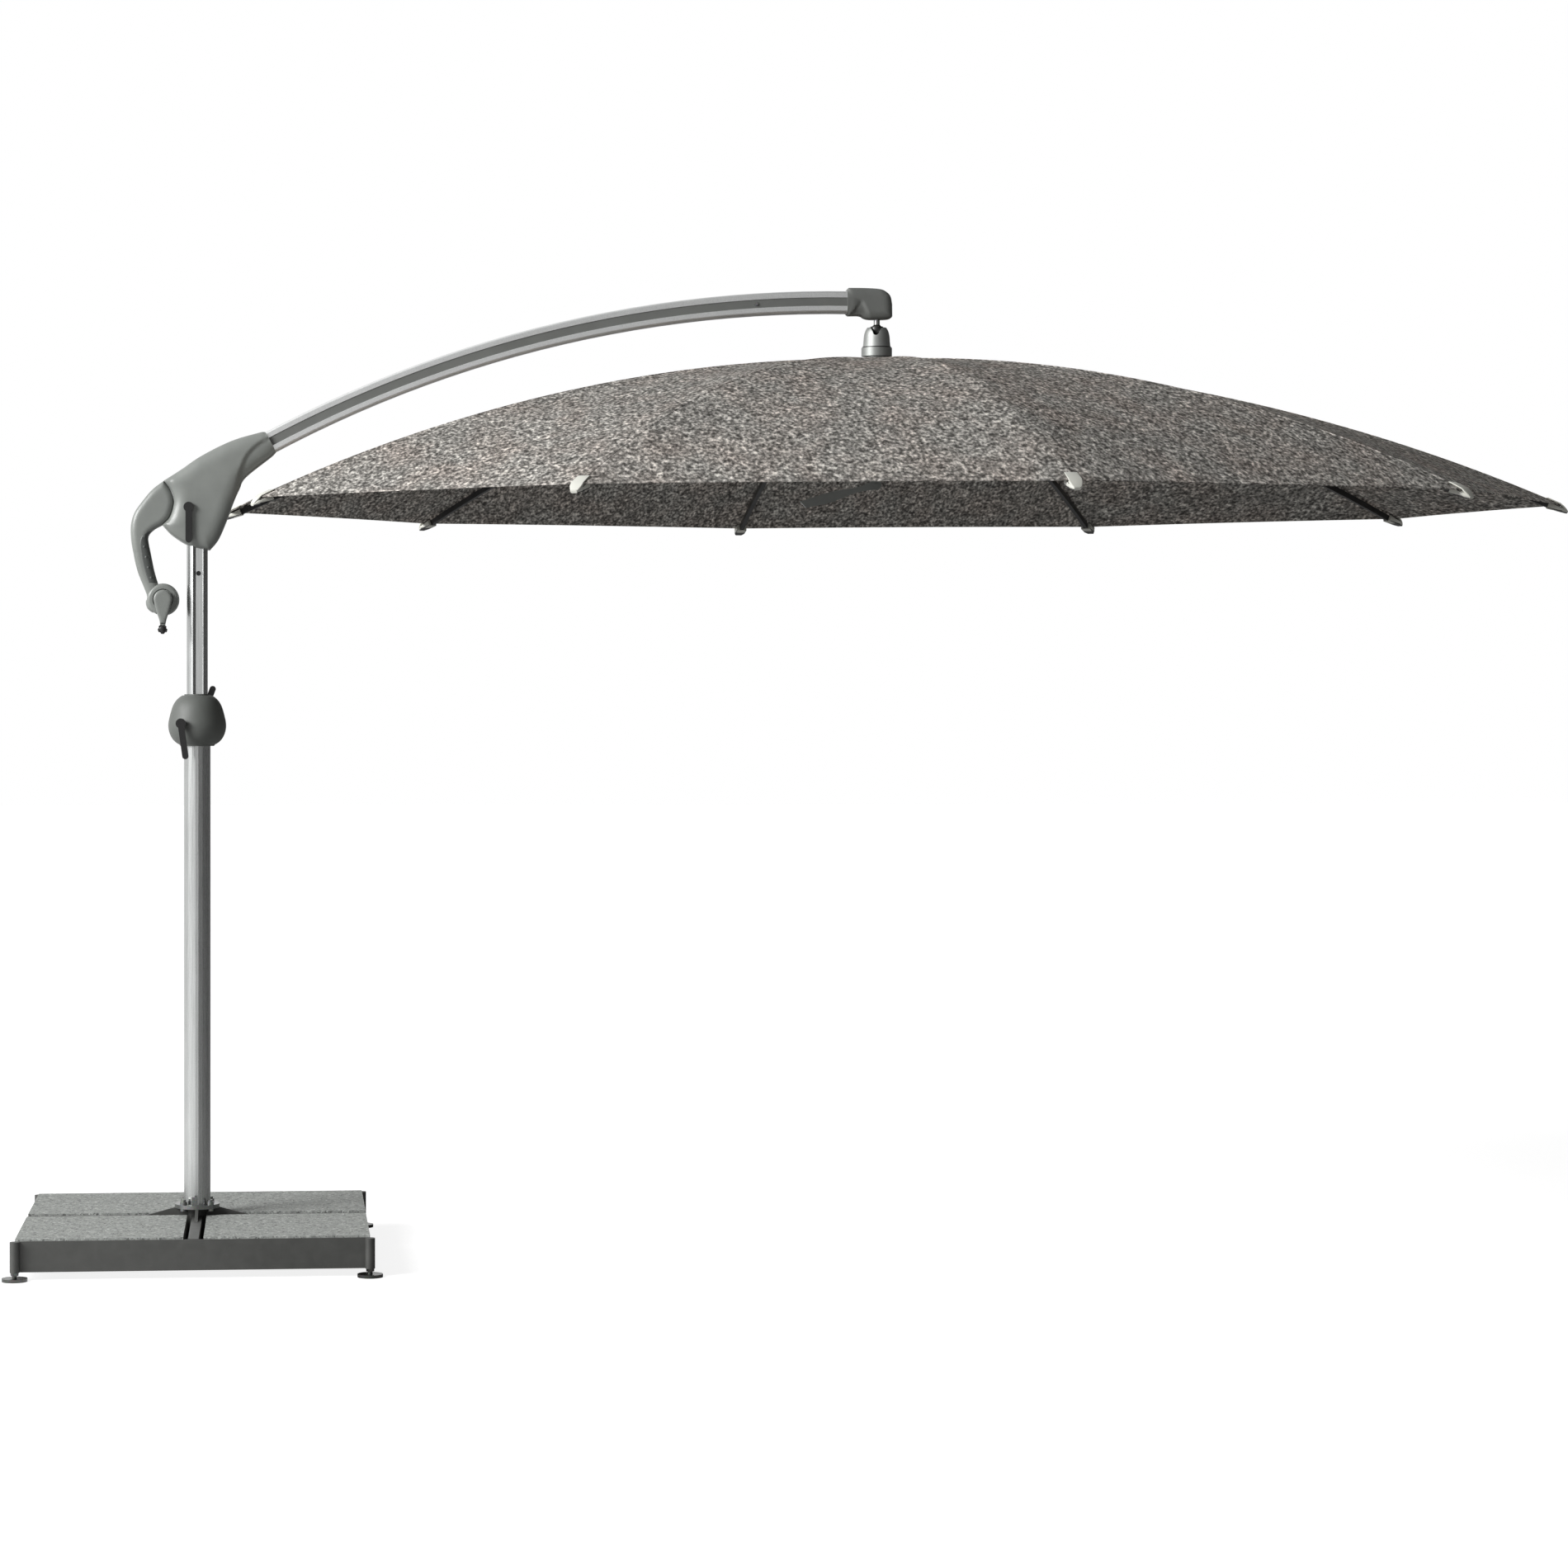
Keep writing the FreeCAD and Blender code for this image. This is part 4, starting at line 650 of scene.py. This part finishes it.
def build_head(finish):
    """The head's two domed mouldings with the stepped flank below the arm."""
    edge, loop = head_loop()
    line = smooth_line([by_mast(*p) for p in SWOOSH], 6)
    rings = [0.0008, 0.0022, 0.0045, 0.0078, 0.012, 0.017]

    for side, name in ((-1, "front"), (1, "back")):
        def height(point):
            deep = edge_distance(edge, point, closed=False)
            return side * (crown_of(deep, 0.015, 0.038, 0.040) - min(0.9 * deep, relief(line, point, 0.0055)))

        def inner(point):
            deep = edge_distance(loop, point)
            return side * 0.0004 if deep < 0.0012 else height(point) - side * 0.003

        piece = domed_shell("head_cover_" + name, "head", finish, loop, height, inner, rings, 0.0042)
        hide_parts("head_shell_" + name)


def build_end_cap(finish):
    """Domed casting over the arm's end, with a stepped flank above the ball."""
    top, low = ARM_CENTRE_Z + ARM_RADIUS + 0.0375, ARM_CENTRE_Z + ARM_RADIUS - 0.0435
    end = BALL[0] - 0.081

    def at(x, z, level):
        return Vector((BALL[0] + x * MM, level + z * MM))

    upper = [at(-76, 0, top), at(-36, 0, top), at(4, -2, top), at(21, -8, top), at(34, -21, top),
             at(39, -44, top)]
    lower = [at(39, 8, low), at(34, 2.5, low), at(14, 0, low), at(-20, 0, low), at(-34, 3, low),
             at(-46, 9, low), at(-76, 9, low)]
    edge = evenly([Vector((end, top - 0.006))] + smooth_line(upper) + smooth_line(lower)
                  + [Vector((end, low + 0.013))], 0.003)
    edge = [tuple(p) for p in edge]
    rim = evenly([Vector(edge[-1]), Vector(edge[0])], 0.003)[1:-1]
    line = smooth_line([at(x, z, 0) for x, z in CAP_STEP], 6)

    def face(point):
        deep = edge_distance(edge, point, closed=False)
        return crown_of(deep, 0.013, 0.028, 0.026) - min(0.8 * deep, relief(line, point, 0.0042))

    cap = domed_shell("arm_end_cover", "head", finish, edge + [tuple(p) for p in rim],
                      lambda p: -face(p), face, [0.0008, 0.0022, 0.0045, 0.0078], 0.0034)
    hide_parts("arm_end_cap")


def build_seam_shade_ring(finish):
    """Black ring round the foot of the ball cup: painted shade standing in for the shadowed seam gap there.
    """
    place = canopy_matrix()
    steps = 72
    rows = [(CUP_RING_INNER, CUP_RING_LOW), (CUP_RING_OUTER, CUP_RING_LOW),
            (CUP_RING_OUTER, CUP_RING_TOP), (CUP_RING_INNER, CUP_RING_TOP)]
    verts = [place @ Vector((r * math.cos(a), r * math.sin(a), z))
             for r, z in rows for a in spread(0, 2 * math.pi, steps)[:-1]]
    faces = [(row * steps + k, row * steps + (k + 1) % steps, (row + 1) % 4 * steps + (k + 1) % steps,
              (row + 1) % 4 * steps + k) for row in range(4) for k in range(steps)]
    # The ring is painted shade: a black band where the seam has only a narrow shadowed gap.
    ring = new_piece("cup_seam_shade_ring", verts, faces, finish, "cup")


CAP_STEP = [(-15, 2412), (-20, 2423), (-32, 2449.6), (-40, 2464.8), (-50, 2471), (-66, 2474)]
CRANK_X, CRANK_Z, CASE_RADIUS, CRANK_HALF = -0.087, 1.681, 0.041, 0.024


def limb_loop():
    """Outline of the crank arm, from the seam round to its end behind the winch case."""
    x, z, r = CRANK_X, CRANK_Z, CASE_RADIUS
    seam = [by_mast(a - 0.6, b) for a, b in SEAM]
    outer = [by_mast(*p) for p in ((-115, 63), (-141, 32), (-160, 4), (-169, -27), (-169, -61), (-164, -95),
                                   (-152, -148))]
    outer = [seam[-1], *outer, Vector((x - r * 1.02, z + r * 0.28)), Vector((x - r * 1.08, z - r * 0.15)),
             Vector((x - r * 0.99, z - r * 0.55)), Vector((x - r * 0.70, z - r * 0.80)),
             Vector((x - r * 0.45, z - r * 0.80))]
    inner = [by_mast(*p) for p in ((-109, -148), (-118.5, -102), (-124, -75), (-125, -60), (-120, -49),
                                   (-107, -37.5))]
    inner = [Vector((x - r * 0.2, z + r * 0.6)), *inner, seam[0]]
    whole = smooth_line(outer) + smooth_line(inner)[:-1] + smooth_line(seam)[:-1]
    return [tuple(p) for p in evenly(whole, 0.003, closed=True)]


def lathe(name, body, material, profile, centre, steps=72):
    """Solid turned about an axis along Y, from (radius, y) pairs that start and end on the axis."""
    x, z = centre
    verts, faces = [(x, profile[0][1], z)], []
    for radius, y in profile[1:-1]:
        for k in range(steps):
            angle = 2 * math.pi * k / steps
            verts.append((x + radius * math.cos(angle), y, z + radius * math.sin(angle)))
    verts.append((x, profile[-1][1], z))
    rows = len(profile) - 2
    for k in range(steps):
        nxt = (k + 1) % steps
        faces.append((0, 1 + k, 1 + nxt))
        for row in range(rows - 1):
            a, b = 1 + row * steps, 1 + (row + 1) * steps
            faces.append((a + k, b + k, b + nxt, a + nxt))
        last = 1 + (rows - 1) * steps
        faces.append((len(verts) - 1, last + nxt, last + k))
    return new_piece(name, verts, faces, material, body)


def round_corner(first, last, steps=5):
    """Quarter of an ellipse between two (radius, y) corners, leaving the first along the radius."""
    (r0, y0), (r1, y1) = first, last
    return [(r0 + (r1 - r0) * math.sin(a), y1 + (y0 - y1) * math.cos(a))
            for a in spread(0, math.pi / 2, steps)]


def build_crank(finish, panel_finish, knob_finish):
    """The crank arm's domed limb with its riveted panel, the winch case and the handle's raised face."""
    loop = limb_loop()
    rings = [0.0008, 0.0022, 0.0045, 0.0075]

    def top(point):
        return crown_of(edge_distance(loop, point), 0.010, CRANK_HALF, 0.017)

    limb = domed_shell("crank_limb", "head", finish, loop, lambda p: -top(p), top, rings, 0.0042)
    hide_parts("crank_arm")

    face = [(0, -0.0262), (0.0225, -0.0262), (0.0229, -0.0215), (0.0262, -0.0215), (0.0268, -0.0266)]
    rear = [(r, -y) for r, y in reversed(round_corner((0.0330, -0.0266), (CASE_RADIUS, -0.0160)))]
    profile = face + round_corner((0.0330, -0.0266), (CASE_RADIUS, -0.0160)) + rear + [(0.0, 0.0266)]
    case = lathe("winch_case", "head", finish, profile, (CRANK_X, CRANK_Z))

    foot, head = CRANK_Z + CASE_RADIUS + 0.001, CRANK_Z + CASE_RADIUS + 0.133
    levels = spread(foot, head, 44)

    def span(z):
        cross = sorted(a[0] + (z - a[1]) / (b[1] - a[1]) * (b[0] - a[0])
                       for a, b in zip(loop, loop[1:] + loop[:1]) if (a[1] > z) != (b[1] > z))
        left, right = cross[0], [c for c in cross if c < -0.09][-1]
        along = max(0.0, (z - foot) / (head - foot))
        return left + (right - left) * (0.45 + 0.40 * along ** 7), right - 0.0012

    edge = [(span(z)[1], z) for z in levels] + [(span(z)[0], z) for z in reversed(levels)]
    panel_loop = [tuple(p) for p in evenly([Vector(p) for p in edge], 0.003, closed=True)]
    rivets = [foot + 0.132 * (k + 0.5) / 5 for k in range(5)]

    def panel_face(point):
        raised = -top(point) - min(0.0009, 0.6 * edge_distance(panel_loop, point))
        for z in rivets:
            gap = math.hypot(point[0] - sum(span(z)) / 2, point[1] - z)
            if gap < 0.003:
                raised -= 0.0014 * math.sqrt(1 - (gap / 0.003) ** 2)
        return raised

    panel = domed_shell("crank_panel", "head", panel_finish, panel_loop, panel_face,
                        lambda p: -top(p) + 0.0012, [0.0007, 0.0018], 0.0013)
    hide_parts("crank_arm_panel")

    cap = [(0, -0.0641), (0.0078, -0.0641), (0.0078, -0.0652), (0.0066, -0.0660), (0, -0.0663)]
    lathe("knob_cap", "knob", knob_finish, cap, (CRANK_X, CRANK_Z - 0.078), 28)

    waist = [(22, -9), (15.2, -35), (9.4, -52), (7.2, -63)]
    hub = [Vector((CRANK_X + 0.0232 * math.cos(a), CRANK_Z + 0.0232 * math.sin(a)))
           for a in spread(math.radians(-22), math.radians(202), 40)]
    right = smooth_line([hub[0]] + [Vector((CRANK_X + x * MM, CRANK_Z + z * MM)) for x, z in waist])[1:]
    left = [Vector((2 * CRANK_X - p[0], p[1])) for p in reversed(right)]
    handle_loop = [tuple(p) for p in evenly(hub[::-1] + right + left, 0.002, closed=True)]
    face_y = -0.0381

    def handle_face(point):
        return face_y - crown_of(edge_distance(handle_loop, point), 0.0, 0.0042, 0.007)

    cover = domed_shell("crank_handle_face", "crank", finish, handle_loop, handle_face, lambda p: face_y,
                        [0.0006, 0.0016, 0.0032], 0.0030)


UPPER_RADIUS, UPPER_LOW, UPPER_HIGH = 0.027, 1.080, 1.900
GROOVE_MOUTH = (-0.39, 0.60)
GROOVE_FLOOR = ((-0.12, -0.0186), (0.51, -0.0198))
SCREW_X, SCREW_Z, SCREW_RADIUS = 0.0035, 1.748, 0.0060


def build_lower_mast(finish):
    """Lower mast with faint flutes round it, between the heights of its CAD node."""
    heights = [corner[2] for corner in nodes["lower_mast"].bound_box]
    count = 20 * LOWER_FLUTES
    ring = [(LOWER_RADIUS - FLUTE_DEEP * (0.5 - 0.5 * math.cos(LOWER_FLUTES * a)), a)
            for a in spread(0, 2 * math.pi, count)[:-1]]
    verts = [(r * math.cos(a), r * math.sin(a), z) for z in (min(heights), max(heights)) for r, a in ring]
    faces = [(k, (k + 1) % count, count + (k + 1) % count, count + k) for k in range(count)]
    faces += [tuple(reversed(range(count))), tuple(range(count, 2 * count))]
    tube = new_piece("lower_mast_profile", verts, faces, finish, "base")
    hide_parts("lower_mast")


LOWER_RADIUS, LOWER_FLUTES, FLUTE_DEEP = 0.034, 22, 0.00022


def build_upper_mast(finish, screw_finish):
    """Telescopic mast with a trapezoid groove front and back, and the screw in each groove."""
    left, right = (math.asin(share) for share in GROOVE_MOUTH)
    section = []
    for sign in (1, -1):
        arc = spread(right - math.pi / 2, left + math.pi / 2, 28)
        side = [(UPPER_RADIUS * math.cos(a), UPPER_RADIUS * math.sin(a)) for a in arc]
        side += [(-share * UPPER_RADIUS, -y) for share, y in GROOVE_FLOOR]
        section += [(sign * x, sign * y) for x, y in side]
    count = len(section)
    verts = [(x, y, z) for z in (UPPER_LOW, UPPER_HIGH) for x, y in section]
    faces = [(k, (k + 1) % count, count + (k + 1) % count, count + k) for k in range(count)]
    faces += [tuple(reversed(range(count))), tuple(range(count, 2 * count))]
    mast = new_piece("upper_mast_profile", verts, faces, finish, "mast")
    mast.data.set_sharp_from_angle(angle=math.radians(20))
    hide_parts("upper_mast")
    for side, name in ((-1, "front"), (1, "back")):
        rim = SCREW_RADIUS
        profile = [(0, 0.0175), (rim, 0.0175), (rim, 0.0214), (rim - 0.001, 0.0224), (0.0028, 0.0224),
                   (0.0026, 0.0206), (0, 0.0204)]
        screw = lathe("mast_screw_" + name, "mast", screw_finish, [(r, side * y) for r, y in profile],
                      (-side * SCREW_X, SCREW_Z), 28)
        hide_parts("mast_screws")


# --- finishes of the CAD nodes --------------------------------------------------------------------

def finish_nodes():
    """Build the pieces of the head, crank, arm and mast, and give every CAD node its material."""
    steel = powder_coat("rail_coat", (0.064, 0.065, 0.061))
    zinc = zinc_plate()
    grey = moulded("grey_moulding", (0.212, 0.224, 0.211), (0.30, 0.42))
    panel = moulded("panel_moulding", (0.072, 0.078, 0.074))
    black = moulded("black_moulding", (0.007, 0.007, 0.007), (0.28, 0.4))
    mast = anodised()
    arm = anodised("anodised_arm", (0.78, 0.79, 0.785), grain=(60, 60, 60), rough=(0.30, 0.38))
    cast = cast_metal()
    satin = cast_metal("satin_cast", (0.33, 0.34, 0.33), (0.50, 0.60))
    painted = moulded("painted_cast", (0.150, 0.156, 0.148), (0.36, 0.48))
    collar = moulded("collar_moulding", (0.105, 0.112, 0.104), (0.48, 0.6))
    dark_zinc = zinc_plate("dark_zinc", (0.10, 0.102, 0.098))
    rib = rib_finish()
    stone = granite()
    finishes = {
        "granite_slabs": stone, "base_frame": steel, "base_cross": steel,
        "foot_1": dark_zinc, "foot_2": dark_zinc, "foot_3": dark_zinc, "foot_4": dark_zinc,
        "lower_mast": mast, "upper_mast": mast, "collar_shell": collar, "collar_bush": collar,
        "head_core": cast, "head_shell_front": grey, "head_shell_back": grey,
        "crank_arm": grey, "crank_arm_panel": panel, "crank_handle": grey, "crank_knob": black,
        "arm_tube": arm, "arm_inlays": painted, "arm_end_cap": painted, "ball_cup": satin,
        "crown": cast, "runner": cast, "canopy_grip": cast,
    }
    by_slot = {"zinc": zinc, "black_plastic": black, "rib_aluminium": rib, "cast_aluminium": cast,
               "grey_plastic": grey, "mast_aluminium": mast, "frame_steel": steel}
    build_head(grey)
    build_end_cap(painted)
    build_seam_shade_ring(black)
    build_lower_mast(mast)
    build_crank(grey, panel, black)
    build_upper_mast(mast, black)
    for name, node in nodes.items():
        if name == "canopy":
            continue
        finish = finishes.get(name) or by_slot[node.material_slots[0].material.name.split(".")[0]]
        node.material_slots[0].material = finish


# --- stage, lights and camera ---------------------------------------------------------------------

def build_stage():
    """Pale floor and white surroundings, white where the camera or a reflection sees them."""
    s = Shader("floor", (0.45, 0.45, 0.45), roughness=0.9, specular=0.1)
    path = s.node("ShaderNodeLightPath")
    across = s.node("ShaderNodeSeparateXYZ")
    s.link(s.place, across.inputs["Vector"])
    shade = s.node("ShaderNodeMapRange", interpolation_type="SMOOTHSTEP")
    s.link(across.outputs["X"], shade.inputs["Value"])
    for name, value in zip(("From Min", "From Max", "To Min", "To Max"), DARK_FLOOR):
        shade.inputs[name].default_value = value
    reflected = s.math("MAXIMUM", path.outputs["Is Glossy Ray"], path.outputs["Is Transmission Ray"])
    seen = s.math("MAXIMUM", path.outputs["Is Camera Ray"],
                  s.math("MULTIPLY", reflected, shade.outputs["Result"]))
    s.surface.inputs["Emission Color"].default_value = (1, 1, 1, 1)
    s.link(s.math("MULTIPLY", seen, FLOOR_GLOW), s.surface.inputs["Emission Strength"])
    s.color(s.ramp(s.noise(3.0, 2.0), [(0.3, s.grey(0.44)), (0.7, s.grey(0.46))]))
    mesh = bpy.data.meshes.new("floor")
    corners = [(x * FLOOR_HALF, y * FLOOR_HALF, 0) for x, y in ((-1, -1), (1, -1), (1, 1), (-1, 1))]
    mesh.from_pydata(corners, [], [(0, 1, 2, 3)])
    mesh.materials.append(s.material)
    floor = bpy.data.objects.new("floor", mesh)
    bpy.context.scene.collection.objects.link(floor)

    world = bpy.data.worlds.new("studio")
    bpy.context.scene.world = world
    world.use_nodes = True
    tree = world.node_tree
    background = tree.nodes["Background"]

    def node(kind, first, second, **settings):
        made = tree.nodes.new(kind)
        for key, value in settings.items():
            setattr(made, key, value)
        for socket, value in zip(made.inputs, (first, second)):
            if isinstance(value, (int, float, tuple)):
                socket.default_value = value
            else:
                tree.links.new(value, socket)
        return made

    ways = tree.nodes.new("ShaderNodeLightPath").outputs
    direction = tree.nodes.new("ShaderNodeTexCoord").outputs["Generated"]
    sideways = node("ShaderNodeVectorMath", direction, DARK_SIDE,
                    operation="DOT_PRODUCT").outputs["Value"]
    shade = tree.nodes.new("ShaderNodeMapRange")
    shade.inputs["From Min"].default_value = DARK_SIDE_FROM
    shade.inputs["From Max"].default_value = DARK_SIDE_TO
    shade.inputs["To Min"].default_value = 1.0
    shade.inputs["To Max"].default_value = DARK_SIDE_LIGHT
    tree.links.new(sideways, shade.inputs["Value"])
    reflected = node("ShaderNodeMath", ways["Is Glossy Ray"], ways["Is Transmission Ray"],
                     operation="MAXIMUM")
    mirrored = node("ShaderNodeMath", reflected.outputs[0], shade.outputs["Result"], operation="MULTIPLY")
    seen = node("ShaderNodeMath", ways["Is Camera Ray"], mirrored.outputs[0], operation="MAXIMUM")
    strength = node("ShaderNodeMath", seen.outputs[0], WORLD_LIGHT, operation="MAXIMUM")
    tree.links.new(strength.outputs[0], background.inputs["Strength"])
    background.inputs["Color"].default_value = (1, 1, 1, 1)


def sun(name, direction, strength, softness):
    """Distant soft lamp: the same light everywhere, with soft shadows."""
    lamp = bpy.data.lights.new(name, "SUN")
    lamp.energy, lamp.angle = strength, math.radians(softness)
    obj = bpy.data.objects.new(name, lamp)
    obj.rotation_euler = Vector(direction).to_track_quat("-Z", "Y").to_euler()
    bpy.context.scene.collection.objects.link(obj)


def softbox(name, place, target, power, side):
    """Square soft lamp."""
    lamp = bpy.data.lights.new(name, "AREA")
    lamp.energy, lamp.size = power, side
    obj = bpy.data.objects.new(name, lamp)
    obj.location = place
    obj.rotation_euler = (Vector(target) - Vector(place)).to_track_quat("-Z", "Y").to_euler()
    bpy.context.scene.collection.objects.link(obj)


def build_camera():
    """Camera at the photograph's viewpoint, shifted to its framing."""
    data = bpy.data.cameras.new("camera")
    data.sensor_width, data.lens = SENSOR, LENS
    data.shift_x, data.shift_y = SHIFT_X, SHIFT_Y
    camera = bpy.data.objects.new("camera", data)
    camera.location = CAMERA_PLACE
    camera.rotation_euler = CAMERA_TURN
    bpy.context.scene.collection.objects.link(camera)
    bpy.context.scene.camera = camera


build_camera()
bpy.context.scene.view_settings.view_transform = "Standard"
build_stage()
sun("key", *KEY_SUN)
sun("fill", *FILL_SUN)
softbox("softbox", *SOFT_BOX)
finish_nodes()
cloth = heather_cloth()
build_canopy(cloth, moulded("tip_moulding", (0.66, 0.66, 0.60)))
build_crown_patch(cloth)
